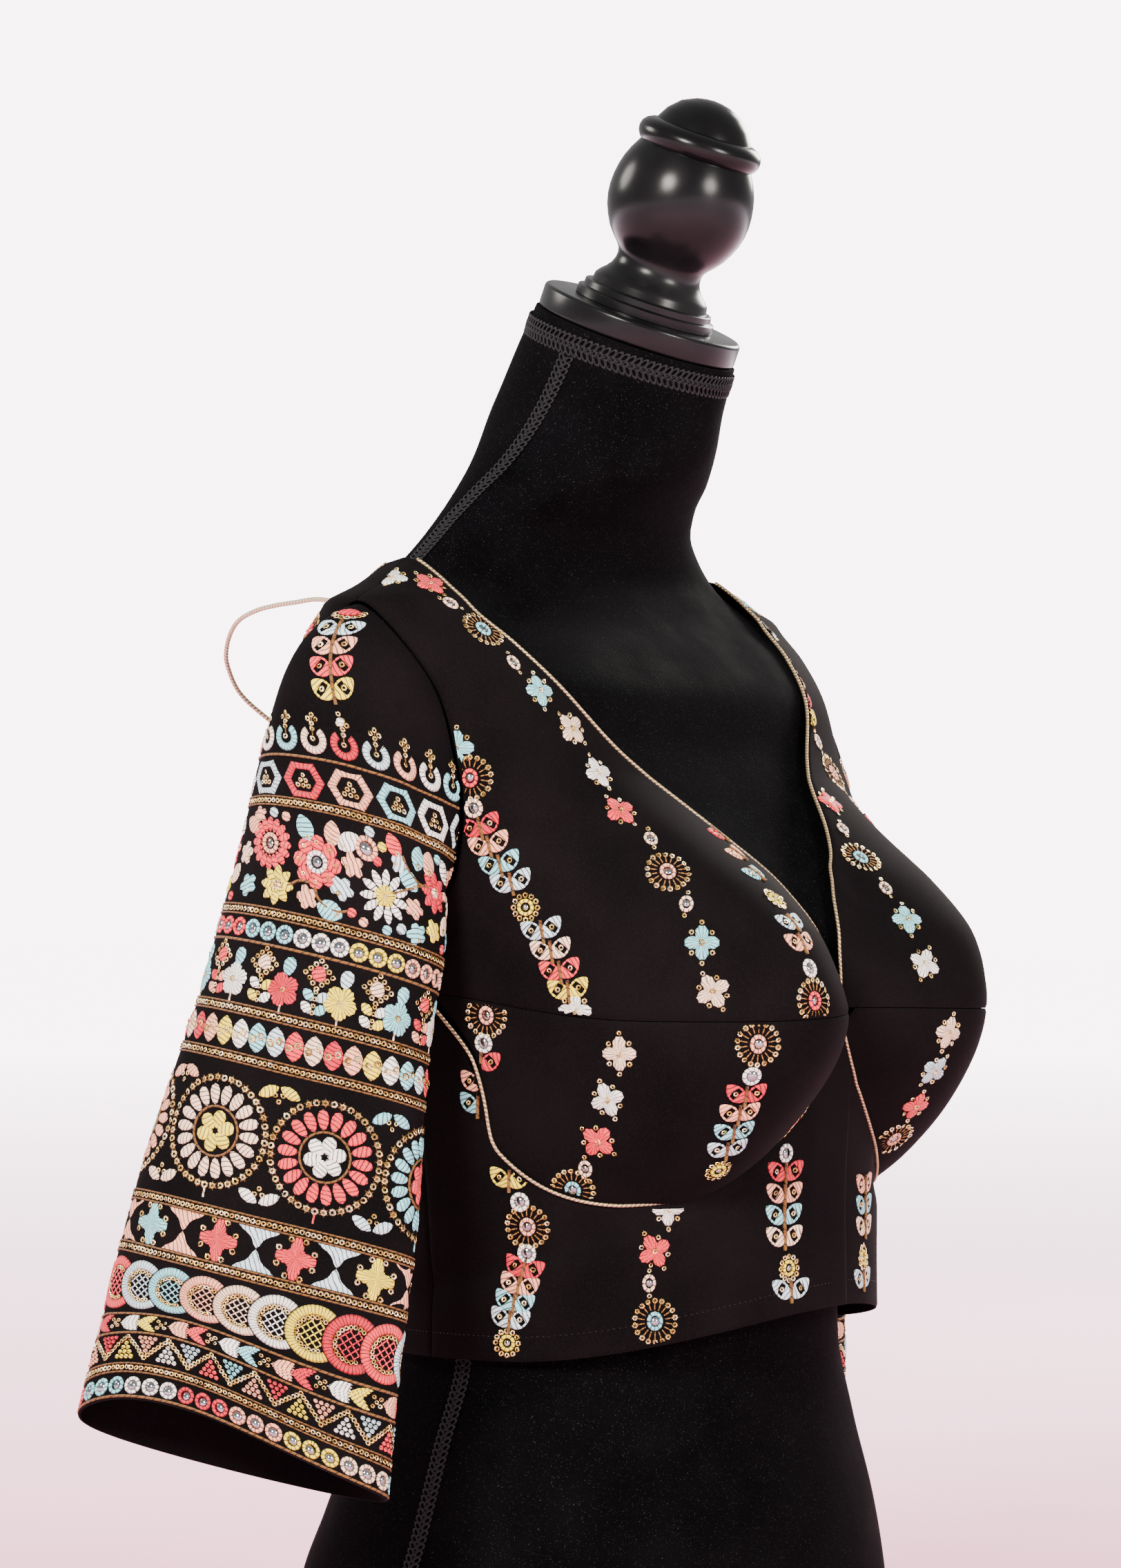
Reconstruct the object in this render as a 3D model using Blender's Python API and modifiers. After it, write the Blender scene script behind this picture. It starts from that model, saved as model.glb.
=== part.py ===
"""Choli blouse worn on a limbless dress form.

Metres, +Z up, the front faces -Y and the wearer's right is -X. The origin is at the middle of the form's flat
underside. A place on the body is given by a height z and an angle around the body: 0 at the centre front, 90
degrees at the side and 180 at the centre back. The two sides mirror each other, so most pieces take side = -1
(the wearer's right) or +1 (the left) and an angle from 0 to 180.
"""

import math

import bmesh
import bpy
import numpy as np
from mathutils import Vector

MM = 0.001
GAP = 0.3 * MM  # between pieces that meet
CLOTH = 1.2 * MM  # thickness of the blouse's cloth

# ------------------------------------------------------------------ sizes of the blouse
SEAM_INSET = 0.2 * MM  # each panel stops this far short of a level seam
SIDE_SEAM = 100.0  # angle of the side seam
SIDE_INSET = 0.1  # degrees that each panel stops short of the side seam
HEM_SIDE = 224 * MM  # height of the hem at the sides and the back
HEM_FRONT = 246 * MM  # height of the hem at the centre front
V_POINT = 399 * MM  # height at which the neckline's two edges cross
SHOULDER_NECK = 629 * MM  # height of the shoulder seam's inner end
SHOULDER_TIP = 604 * MM  # and of its outer end
UNDERARM = 451 * MM
BACK_NECK = 505 * MM  # lowest point of the back neckline
ARMHOLE_FRONT = 24.0  # degrees that the armhole reaches forward of the side
ARMHOLE_BACK = 19.0  # and back of it
ARMHOLE_HIGH = 0.35  # the front of the armhole is fullest above its middle by this share
ARMHOLE_EASE = 1.012  # the panels' armhole against its seam line, so that straight steps clear the sleeve
FRONT_LAP = 12 * MM  # each front passes the centre by this much
LAP_TOP = 360 * MM  # height of the lap's upper end, just under the other side's cup
LAP_RISE = 1.9 * MM  # lift of the right front where it lies on the left one

# Cross-sections of the blouse without its cups. squareness 2 is an ellipse, and more than 2 is boxier.
BODY_COLUMNS = ("height", "half_width", "middle_y", "front", "back", "squareness")
BODY_ROWS = (
    (200, 146, -8, 133, 114, 2.1),
    (250, 146, -8, 132, 112, 2.1),
    (300, 150, -8, 131, 112, 2.1),
    (350, 157, -7, 134, 113, 2.2),
    (397, 164, -5, 138, 116, 2.4),
    (433, 169, -2, 135, 118, 2.6),
    (462, 173, 1, 122, 118, 2.8),
    (485, 176, 4, 107, 116, 3.0),
    (510, 180, 7, 93, 112, 3.2),
    (530, 184, 10, 83, 108, 3.3),
    (560, 190, 14, 74, 96, 3.2),
    (585, 195, 18, 59, 82, 2.9),
    (604, 196, 21, 43, 64, 2.4),
    (615, 172, 23, 38, 54, 2.2),
    (629, 147, 26, 35, 46, 2.0),
    (652, 115, 27, 34, 40, 2.0),
)

# Half the width of the open neck, by height.
NECK_COLUMNS = ("height", "front_half_width", "back_half_width")
NECK_ROWS = (
    (399, 0, 0),
    (433, 8, 0),
    (462, 25, 0),
    (482, 47, 0),
    (505, 69, 0),
    (509, 72, 35),
    (527, 91, 74),
    (557, 118, 108),
    (585, 135, 131),
    (604, 144, 143),
    (629, 147, 147),
)

# A cup swells from its seam: its middle, how far it reaches each way, and how square its outline is there.
CUP_MIDDLE_X = 100 * MM
CUP_MIDDLE_Z = 400 * MM
CUP_INNER = 100 * MM
CUP_DOWN = 97 * MM
CUP_UP = 120 * MM
CUP_HEIGHT = 52 * MM
CUP_INNER_POWER = 1.4
CUP_OUTER_POWER = 5.0
UNDER_BUST_SIDE = 83.5  # angle at which the under-bust seam rises before it turns out to the side seam

# Soft folds on the body, each from one place to another: side, angle, height, angle, height, depth, width.
FOLD_ROWS = (
    (-1, 28, 312, 98, 262, 3.0, 9),
    (-1, 38, 303, 46, 256, 1.4, 9),
    (-1, 62, 486, 38, 490, 2.2, 8),
    (-1, 52, 411, 34, 412, 1.2, 6),
    (-1, 58, 402, 58, 380, 0.9, 4),
    (1, 26, 310, 92, 268, 2.6, 9),
    (1, 44, 302, 50, 258, 1.4, 10),
    (1, 60, 482, 40, 492, 2.0, 8),
    (1, 12, 470, 16, 425, 2.4, 6),
    (1, 50, 410, 36, 413, 1.2, 6),
    (-1, 176, 300, 128, 262, 2.2, 10),
    (1, 172, 318, 126, 286, 2.0, 10),
    (-1, 170, 420, 122, 452, 1.6, 10),
    (1, 168, 404, 120, 440, 1.8, 10),
)

MIDDLE_BACK_PLAIN = math.radians(12)  # the folds die out this far from the middle of the back

# ------------------------------------------------------------------ sizes of a sleeve
CUFF_HEIGHT = 186 * MM  # height of the middle of the cuff
FIRST_RING = 436 * MM  # height of the first whole ring, just under the arm
SLEEVE_X = 212 * MM  # how far out that ring's middle is
SLEEVE_Y = 22 * MM
# How each sleeve hangs: outward and backward run for each unit down, and the tilt of its rings in degrees.
HANG_COLUMNS = ("side", "swing", "back", "lift")
HANG_ROWS = (
    (-1, 0.319, 0.02, 22),
    (1, 0.13, 0.17, 9),
)
SLEEVE_TURN = math.radians(14)  # the front edge turns in towards the body
SLEEVE_DIP = math.radians(10.5)  # the front edge is lower than the back one
CAP_SHARE = 0.34  # share of the sleeve's rows that shape its cap
CAP_BACK = 0.8  # the cap swells backward by this share of its outward swell
CUFF_RISE = 15 * MM  # the cuff's edge is drawn up by a crease on its outer side
CUFF_RISE_TURN = -22  # degrees round the sleeve
CUFF_RISE_SPREAD = 52
SLEEVE_COLUMNS = ("height", "half_wide", "half_deep", "bow")  # bow sets the ring back
SLEEVE_ROWS = (
    (186, 82, 32, 0.5),
    (245, 77.5, 34, 2.6),
    (300, 73.5, 37, 2.8),
    (352, 66.5, 40, 3.0),
    (400, 60, 42, 2.8),
    (436, 58, 43, 2.2),
)
# Dents in a sleeve. Columns: share of the way down, angle round it, depth, spread down, spread round.
DENT_ROWS = (
    (0.10, 40, 2.0, 0.08, 13),
    (0.10, -38, 2.2, 0.09, 13),
    (0.16, 72, 3.0, 0.12, 14),
    (0.14, -72, 2.6, 0.12, 16),
    (0.88, -42, 4.5, 0.045, 30),
    (0.97, -18, 3.5, 0.05, 16),
    (0.60, 8, 1.8, 0.12, 20),
    (0.78, 60, 2.2, 0.10, 22),
    (0.62, 176, 3.0, 0.22, 26),
)

# ------------------------------------------------------------------ sizes of the trim
PIPING_RADIUS = 1.0 * MM
DORI_RADIUS = 1.25 * MM
KNOT_RADIUS = 5.5 * MM
KNOT_BACK = 126.5 * MM  # how far behind the middle it lies
KNOT_HEIGHT = 497 * MM
TAIL_LENGTH = 95 * MM
DORI_START = 607 * MM  # height at which the dori leaves the back neckline
# Route of the left dori from there, out behind the shoulder and down to the knot: (x, y, height).
DORI_ROUTE = (
    (138, 88, 609),
    (134, 104, 608),
    (130, 119, 607),
    (125, 135, 605),
    (118, 151, 601),
    (110, 163, 595),
    (101, 173, 586),
    (93, 178, 577),
    (79, 180, 563),
    (62, 173, 549),
    (45, 161, 535),
    (30, 149, 521),
    (17, 138, 509),
    (8, 131, 500),
)

# ------------------------------------------------------------------ sizes of the dress form
FORM_COLUMNS = ("height", "half_width", "middle_y", "front", "back", "squareness", "tilt", "cup_height")
FORM_ROWS = (
    (0, 184, 4, 137, 137, 2.1, 0, 0),
    (55, 187, 4, 140, 140, 2.1, 0, 0),
    (100, 182, 4, 137, 137, 2.1, 0, 0),
    (137, 171, 0, 128, 129, 2.1, 0, 0),
    (180, 156, -3, 116, 116, 2.1, 0, 0),
    (225, 140, -6, 108, 107, 2.1, 0, 0),
    (255, 140, -7, 106, 106, 2.1, 0, 0),
    (290, 144, -7, 110, 106, 2.1, 0, 0),
    (330, 151, -7, 117, 108, 2.2, 0, 40),
    (365, 156, -6, 126, 110, 2.3, 0, 45),
    (397, 160, -5, 133, 112, 2.4, 0, 48),
    (433, 165, -2, 126, 114, 2.6, 0, 48),
    (448, 167, -1, 119, 114, 2.6, 0, 47),
    (465, 169, 1, 108, 114, 2.8, 0, 46),
    (485, 172, 4, 95, 112, 3.0, 0, 44),
    (510, 176, 7, 83, 108, 3.2, 0, 40),
    (535, 181, 11, 74, 103, 3.2, 0, 0),
    (560, 186, 14, 70, 92, 3.2, 0, 0),
    (583, 190, 18, 56, 79, 2.9, 0, 0),
    (599, 190, 21, 41, 61, 2.4, 0, 0),
    (610, 168, 23, 35, 51, 2.2, 0, 0),
    (624, 144, 25, 31, 43, 2.0, 0, 0),
    (645, 115, 24, 36, 40, 2.0, 0, 0),
    (662, 96, 19, 47, 44, 2.0, 3, 0),
    (680, 80, 9, 55, 52, 2.0, 8, 0),
    (703, 66, -1, 58, 58, 2.0, 14, 0),
    (727, 58, -10, 57, 57, 2.0, 19, 0),
    (750, 55, -20, 55, 55, 2.0, 22, 0),
)
NECK_TILT = math.radians(22)
NECK_TOP = Vector((0, -20 * MM, 750 * MM))
CAP_RADIUS = 54 * MM
CAP_THICKNESS = 13 * MM
CAP_EDGE = 1.6 * MM
# The finial's turned outline from its top down. Columns: distance above the cap, radius.
FINIAL_ROWS = (
    (116, 0),
    (114.8, 8.5),
    (111.2, 16.5),
    (105.5, 22.5),
    (99.5, 26),
    (98, 29.5),
    (94.5, 33),
    (91, 32.5),
    (88.5, 28.5),
    (87, 26.5),
    (80, 31.8),
    (70, 36.6),
    (59, 38),
    (48, 36.4),
    (38, 31.6),
    (31, 25.5),
    (26, 23),
    (20, 24.5),
    (15, 29),
    (12.5, 31),
    (9, 31.5),
    (8.6, 34.5),
    (5, 35),
    (4.6, 37.5),
    (0, 37.5),
    (0, 0),
)

# ------------------------------------------------------------------ how finely the panels are stepped
INNER_SEAM_STEPS = np.linspace(0, 0.45, 9)
SEAM_STEPS = np.concatenate([INNER_SEAM_STEPS[:-1], np.linspace(0.45, 1, 16)])  # along the under-bust seam
FRONT_NECK_STEPS = np.linspace(0, 1, 14)  # up the front neckline
BACK_NECK_SHARE = 0.56  # share of the back's rows that lie below its neckline
BACK_STEPS = np.concatenate([np.linspace(0, BACK_NECK_SHARE, 8)[:-1], np.linspace(BACK_NECK_SHARE, 1, 10)])
UNDERARM_STEP_FRONT = FRONT_NECK_STEPS[2]  # the row that holds the underarm's corner
UNDERARM_STEP_BACK = BACK_STEPS[6]

# ------------------------------------------------------------------ colours: base colour, roughness, metallic
BLACK_CREPE = ("black_crepe", (0.012, 0.011, 0.012), 0.85, 0.0)
EMBROIDERED = ("embroidered_crepe", (0.05, 0.035, 0.03), 0.85, 0.0)
GOLD_CORD = ("gold_cord", (0.50, 0.38, 0.20), 0.45, 0.6)
VELVET = ("black_velvet", (0.006, 0.006, 0.007), 0.95, 0.0)
BLACK_WOOD = ("black_wood", (0.008, 0.008, 0.008), 0.25, 0.0)


# ------------------------------------------------------------------ helpers
def clear_scene():
    for item in list(bpy.data.objects):
        bpy.data.objects.remove(item)


def material(finish):
    name, colour, roughness, metallic = finish
    made = bpy.data.materials.get(name) or bpy.data.materials.new(name)
    made.use_nodes = True
    shader = made.node_tree.nodes["Principled BSDF"]
    shader.inputs["Base Color"].default_value = (*colour, 1)
    shader.inputs["Roughness"].default_value = roughness
    shader.inputs["Metallic"].default_value = metallic
    return made


def add_object(name, data, finish):
    made = bpy.data.objects.new(name, data)
    data.materials.append(material(finish))
    parts.objects.link(made)
    return made


def ease(share):
    """0 to 1 with a soft start and end."""
    share = np.clip(share, 0, 1)
    return share * share * (3 - 2 * share)


def along(value, rows, column):
    """Smooth value of a table's column at a place in its first column, with no overshoot."""
    table = sorted(rows)
    places = np.array([row[0] for row in table], float) * MM
    values = np.array([row[column] for row in table], float)
    steps = np.diff(places)
    slopes = np.diff(values) / steps
    tangents = np.concatenate([slopes[:1], slopes])
    for i in range(1, len(steps)):
        before, after = slopes[i - 1], slopes[i]
        if before * after <= 0:
            tangents[i] = 0
        else:
            weight_a = 2 * steps[i] + steps[i - 1]
            weight_b = steps[i] + 2 * steps[i - 1]
            tangents[i] = (weight_a + weight_b) / (weight_a / before + weight_b / after)
    value = np.clip(value, places[0], places[-1])
    i = np.clip(np.searchsorted(places, value) - 1, 0, len(steps) - 1)
    t = (value - places[i]) / steps[i]
    start = (1 + 2 * t) * (1 - t) ** 2 * values[i] + t * (1 - t) ** 2 * steps[i] * tangents[i]
    end = t * t * (3 - 2 * t) * values[i + 1] + t * t * (t - 1) * steps[i] * tangents[i + 1]
    return start + end


# ------------------------------------------------------------------ the blouse's surface
def cup_swell(x, z, half_width):
    """How far a cup stands out in front of the plain body, from 0 to 1."""
    across = np.abs(x) - CUP_MIDDLE_X
    outer = np.maximum(half_width - CUP_MIDDLE_X, 30 * MM)
    p = np.where(across < 0, -across / CUP_INNER, across / outer)
    below = CUP_MIDDLE_Z - z
    q = np.where(below > 0, below / CUP_DOWN, -below / CUP_UP)
    power = np.where(below > 0, np.where(across < 0, CUP_INNER_POWER, CUP_OUTER_POWER), 2.0)
    reach = (np.abs(p) ** power + np.abs(q) ** power) ** (1 / power)
    under = np.clip(1 - reach**2.2, 0, 1)
    over = np.clip(1 - reach**2, 0, 1) ** 1.5
    blend = ease((np.arctan2(-below, np.abs(across) + 20 * MM) + 0.5) / 1.0)
    return under * (1 - blend) + over * blend


def section(angle, z, rows, names, swell_height):
    """Point of a cross-section: a superellipse, with the cups in front."""
    wanted = ("half_width", "middle_y", "front", "back", "squareness")
    half, middle, front, back, square = (names.index(name) for name in wanted)
    half_width = along(z, rows, half) * MM
    front_reach = along(z, rows, front) * MM
    back_reach = along(z, rows, back) * MM
    power = along(z, rows, square)
    sine, cosine = np.sin(angle), np.cos(angle)
    size = (np.abs(sine) ** power + np.abs(cosine) ** power) ** (1 / power)
    x = half_width * sine / size
    y = along(z, rows, middle) * MM - np.where(cosine > 0, front_reach, back_reach) * cosine / size
    y = y - np.where(cosine > 0, swell_height * cup_swell(x, z, half_width), 0)
    return x, y


def fold_depth(side, angle, z):
    """Depth of the soft troughs at a place on the body."""
    radius = 150 * MM
    total = np.zeros(np.broadcast(angle, z).shape)
    for fold_side, a0, z0, a1, z1, depth, width in FOLD_ROWS:
        if fold_side != side:
            continue
        start = np.array([math.radians(a0) * radius, z0 * MM])
        run = np.array([math.radians(a1) * radius, z1 * MM]) - start
        u = angle * radius - start[0]
        v = z - start[1]
        share = np.clip((u * run[0] + v * run[1]) / (run @ run), 0, 1)
        away = np.hypot(u - share * run[0], v - share * run[1])
        fade = np.sin(math.pi * (0.12 + 0.76 * share)) ** 0.7
        total = total + depth * MM * fade * np.exp(-((away / (width * MM)) ** 2))
    return total * ease((np.pi - angle) / MIDDLE_BACK_PLAIN)


def body_point(side, angle, z, out=0.0):
    """Point of the blouse at an angle (degrees, 0 to 180) and a height, moved out by out."""
    angle = np.radians(np.asarray(angle, float))
    z = np.asarray(z, float)
    x, y = section(angle, z, BODY_ROWS, BODY_COLUMNS, CUP_HEIGHT)
    depth = fold_depth(side, angle, z) - out
    reach = np.hypot(x, y) + 1e-9
    return np.stack(np.broadcast_arrays(side * x * (1 - depth / reach), y * (1 - depth / reach), z), -1)


def angle_at(x, z):
    """Angle, in degrees, at which the body's front is x from its middle."""
    half = BODY_COLUMNS.index("half_width")
    square = BODY_COLUMNS.index("squareness")
    half_width = along(z, BODY_ROWS, half) * MM
    power = along(z, BODY_ROWS, square)
    share = np.clip(np.abs(x) / half_width, 0, 1)
    return np.degrees(np.arctan2(np.sign(x) * share, (1 - share**power) ** (1 / power)))


def hem_height(angle):
    return HEM_SIDE + (HEM_FRONT - HEM_SIDE) * ease((80 - np.abs(angle)) / 80)


def bust_height(angle):
    """Height of the level bust seam."""
    return 396 * MM + 3 * MM * ease((45 - np.abs(angle)) / 45) + 12 * MM * ease((np.abs(angle) - 55) / 35)


def neck_angle(z, back=False):
    """Angle of the neckline's edge, from the front's middle or from the back's."""
    column = NECK_COLUMNS.index("back_half_width" if back else "front_half_width")
    angle = angle_at(along(z, NECK_ROWS, column) * MM, z)
    return 180 - angle if back else angle


def under_bust(share, grow=1.0):
    """Angle and height along the curved under-bust seam, from the centre front (0) to the side seam (1)."""
    share = np.asarray(share, float)
    swing = np.clip(share / 0.9, 0, 1) * math.pi
    power = np.where(swing < math.pi / 2, CUP_INNER_POWER, CUP_OUTER_POWER)
    cosine, sine = np.cos(swing), np.sin(swing)
    size = (np.abs(cosine) ** power + np.abs(sine) ** power) ** (1 / power)
    z = CUP_MIDDLE_Z - CUP_DOWN * grow * sine / size
    half_width = along(z, BODY_ROWS, BODY_COLUMNS.index("half_width")) * MM
    out = np.where(cosine > 0, CUP_INNER, half_width - CUP_MIDDLE_X)
    x = np.clip(CUP_MIDDLE_X - grow * cosine / size * out, 0, half_width)
    angle = angle_at(x, z)
    angle = angle - (90 - UNDER_BUST_SIDE) * ease((angle - 78) / 12)
    tail = ease((share - 0.82) / 0.18)
    return angle + tail * (SIDE_SEAM - UNDER_BUST_SIDE), z + 6 * MM * tail


def armhole(turn, grow=1.0):
    """Angle and height on the armhole: turn 0 at the shoulder, pi at the underarm, the front between them."""
    middle = (SHOULDER_TIP + UNDERARM) / 2
    forward = np.sin(turn) > 0
    reach = np.where(forward, ARMHOLE_FRONT * (1 + ARMHOLE_HIGH * np.cos(turn)), ARMHOLE_BACK)
    angle = 90 - reach * grow * np.sin(turn)
    return angle, middle + (SHOULDER_TIP - middle) * grow * np.cos(turn)


# ------------------------------------------------------------------ panels
def normals(point, u, v, step_u, step_v):
    """Outward unit normals of a surface given as a function of two arrays."""
    du = point(u + step_u, v) - point(u - step_u, v)
    dv = point(u, v + step_v) - point(u, v - step_v)
    cross = np.cross(du, dv)
    return cross / np.linalg.norm(cross, axis=-1, keepdims=True)


def body_normals(side, angle, z):
    found = normals(lambda a, h: body_point(side, a, h), angle, z, 0.6, 1.2 * MM)
    return found * side


def wall_mesh(name, grids, finish, closed_rows=False):
    """A cloth wall from grids of (outer points, inner points); grids that share points become one piece."""
    mesh = bmesh.new()
    for outer, inner in grids:
        rows, cols = outer.shape[:2]
        skins = [[[mesh.verts.new(point) for point in row] for row in skin] for skin in (outer, inner)]
        last = cols if closed_rows else cols - 1
        for r in range(rows - 1):
            for c in range(last):
                d = (c + 1) % cols
                a = skins[0]
                b = skins[1]
                mesh.faces.new((a[r][c], a[r][d], a[r + 1][d], a[r + 1][c]))
                mesh.faces.new((b[r][c], b[r + 1][c], b[r + 1][d], b[r][d]))
        rim = [(skins[0][r], skins[1][r]) for r in (0, rows - 1)]
        for (outer_row, inner_row), flip in zip(rim, (False, True)):
            for c in range(last):
                d = (c + 1) % cols
                face = [outer_row[c], inner_row[c], inner_row[d], outer_row[d]]
                mesh.faces.new(face[::-1] if flip else face)
        if not closed_rows:
            for c, flip in ((0, True), (cols - 1, False)):
                for r in range(rows - 1):
                    face = [skins[0][r][c], skins[1][r][c], skins[1][r + 1][c], skins[0][r + 1][c]]
                    mesh.faces.new(face[::-1] if flip else face)
    if len(grids) > 1:
        weld(mesh)
    bmesh.ops.recalc_face_normals(mesh, faces=mesh.faces)
    data = bpy.data.meshes.new(name)
    mesh.to_mesh(data)
    mesh.free()
    data.shade_smooth()
    data.set_sharp_from_angle(angle=math.radians(50))
    return add_object(name, data, finish)


def weld(mesh):
    """Join two halves at the middle, and drop the wall faces that close each half there."""
    bmesh.ops.remove_doubles(mesh, verts=mesh.verts, dist=0.01 * MM)
    between = [face for face in mesh.faces if all(abs(vert.co.x) < 0.01 * MM for vert in face.verts)]
    bmesh.ops.delete(mesh, geom=between, context="FACES_ONLY")


def panel(name, side, angle, z, finish=BLACK_CREPE, out=0.0):
    """A piece of the body's cloth from grids of angles and heights."""
    return wall_mesh(name, [panel_skins(side, angle, z, out)], finish)


def panel_skins(side, angle, z, out=0.0):
    outer = body_point(side, angle, z, out)
    return outer, outer - CLOTH * body_normals(side, angle, z)


def spread(count):
    return np.linspace(0, 1, count)


def side_seam(z):
    """Angle of the side seam, which leans forward to the lowest point of the armhole."""
    return 90 + (SIDE_SEAM - 90) * ease((UNDERARM - z) / (43 * MM))


def side_edge(v, corner, back=False):
    """Angle and height up a panel's outer edge: the side seam to the corner share, then the armhole."""
    turn = math.pi * (1 - np.clip((v - corner) / (1 - corner), 0, 1))
    hole, hole_z = armhole(-turn if back else turn, ARMHOLE_EASE)
    low = HEM_SIDE if back else bust_height(90) + SEAM_INSET
    top = armhole(math.pi, ARMHOLE_EASE)[1]
    seam_z = low + (top - low) * np.clip(v / corner, 0, 1)
    seam = side_seam(seam_z) + SIDE_INSET * (1 if back else -1)
    return np.where(v <= corner, seam, hole), np.where(v <= corner, seam_z, hole_z)


def front_neck(v):
    """Angle and height up the front neckline, from the point of the V to the shoulder."""
    low = V_POINT + SEAM_INSET
    z = low + (SHOULDER_NECK - low) * v**0.92
    return np.where(v < 1, neck_angle(z) + 0.5, 89.7), z


def back_middle(v, corner):
    """Angle and height up the back's middle to the corner share, and then round the back neckline."""
    rise = np.clip((v - corner) / (1 - corner), 0, 1)
    neck_z = BACK_NECK + (SHOULDER_NECK - BACK_NECK) * rise**1.5
    angle = np.where(v < 1, neck_angle(neck_z, back=True) - 0.5, 90.3)
    low_z = HEM_SIDE + (BACK_NECK - HEM_SIDE) * v / corner
    return np.where(v <= corner, 180, angle), np.where(v <= corner, low_z, neck_z)


def upper_cup(side, cols=13):
    """From the level bust seam up to the shoulder, between neckline and armhole."""
    v, s = np.meshgrid(FRONT_NECK_STEPS, spread(cols), indexing="ij")
    left_angle, left_z = front_neck(v)
    right_angle, right_z = side_edge(v, UNDERARM_STEP_FRONT)
    angle = left_angle * (1 - s) + right_angle * s
    z = left_z * (1 - s) + right_z * s
    bow = bust_height(angle) + SEAM_INSET - (left_z[0, 0] * (1 - s) + right_z[0, -1] * s)
    z = z + bow * (1 - v) ** 3
    angle = np.where(v >= 1, 89.7, angle)
    return panel(f"upper_cup_{label(side)}", side, angle, z)


def lower_cup(side, rows=7):
    """Between the level bust seam and the curved under-bust seam."""
    v, s = np.meshgrid(spread(rows), np.clip(SEAM_STEPS, 0.03, 0.96), indexing="ij")
    low_angle, low_z = under_bust(s, 0.995)
    high_angle = 90 * s + (SIDE_SEAM - 90 - SIDE_INSET) * ease((s - 0.75) / 0.21)
    high_z = bust_height(high_angle) - SEAM_INSET
    angle = np.minimum(low_angle, SIDE_SEAM - SIDE_INSET) * (1 - v) + high_angle * v
    return panel(f"lower_cup_{label(side)}", side, angle, low_z * (1 - v) + high_z * v)


def lap_lift(side, angle):
    """How far the right front is lifted to lie on the left one."""
    return LAP_RISE * ease((15 - angle) / 8) if side < 0 else 0.0


def midriff(side, rows=7):
    """From the hem up to the under-bust seam; the right one laps over the left one."""
    lap_angle = -angle_at(FRONT_LAP, HEM_FRONT)
    v, s = np.meshgrid(spread(rows), np.clip(SEAM_STEPS, 0.02, 1), indexing="ij")
    low_angle = (SIDE_SEAM - SIDE_INSET) * s
    high_angle, high_z = under_bust(s, 1.005)
    high_angle = np.minimum(high_angle, SIDE_SEAM - SIDE_INSET)
    angle = low_angle * (1 - v) + high_angle * v
    z = hem_height(low_angle) * (1 - v) + high_z * v
    angle = np.hstack([np.full((rows, 1), lap_angle), angle])
    lap_z = HEM_FRONT + (LAP_TOP - HEM_FRONT) * v[:, :1]
    z = np.hstack([lap_z, z])
    return panel(f"midriff_{label(side)}", side, angle, z, out=lap_lift(side, angle))


def back(cols=11):
    """One piece from side seam to side seam, with a round neckline."""
    grids = []
    for side in (-1, 1):
        v, s = np.meshgrid(BACK_STEPS, spread(cols), indexing="ij")
        left_angle, left_z = back_middle(v, BACK_NECK_SHARE)
        right_angle, right_z = side_edge(v, UNDERARM_STEP_BACK, back=True)
        angle = left_angle * (1 - s) + right_angle * s
        angle = np.where(v >= 1, 90.3, angle)
        grids.append(panel_skins(side, angle, left_z * (1 - s) + right_z * s))
    return wall_mesh("back", grids, BLACK_CREPE)


# ------------------------------------------------------------------ sleeves
def sleeve_hang(side, column):
    row = next(row for row in HANG_ROWS if row[0] == side)
    return row[HANG_COLUMNS.index(column)]


def sleeve_axes(side):
    """Directions of a sleeve ring: towards its front edge and towards its outer side."""
    lift = math.radians(sleeve_hang(side, "lift"))
    level = math.cos(SLEEVE_DIP)
    across = -side * math.sin(SLEEVE_TURN) * level
    front = np.array([across, -math.cos(SLEEVE_TURN) * level, -math.sin(SLEEVE_DIP)])
    outward = np.array([side * math.cos(lift), 0, math.sin(lift)])
    outward = outward - (outward @ front) * front
    return front, outward / np.linalg.norm(outward)


def sleeve_ring(side, turn, z):
    """Point of a ring whose middle is at height z; turn 0 is the sleeve's outer side, pi/2 its front edge."""
    wide = SLEEVE_COLUMNS.index("half_wide")
    deep = SLEEVE_COLUMNS.index("half_deep")
    front, outward = sleeve_axes(side)
    drop = FIRST_RING - z
    out = SLEEVE_X + sleeve_hang(side, "swing") * drop
    middle = np.stack([side * out, SLEEVE_Y + sleeve_hang(side, "back") * drop, z], -1)
    middle = middle - (along(z, SLEEVE_ROWS, SLEEVE_COLUMNS.index("bow")) * MM)[..., None] * front
    half_wide = (along(z, SLEEVE_ROWS, wide) * MM)[..., None]
    half_deep = (along(z, SLEEVE_ROWS, deep) * MM)[..., None]
    forward = half_wide * np.sin(turn)[..., None] * front
    return middle + forward + half_deep * np.cos(turn)[..., None] * outward


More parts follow.
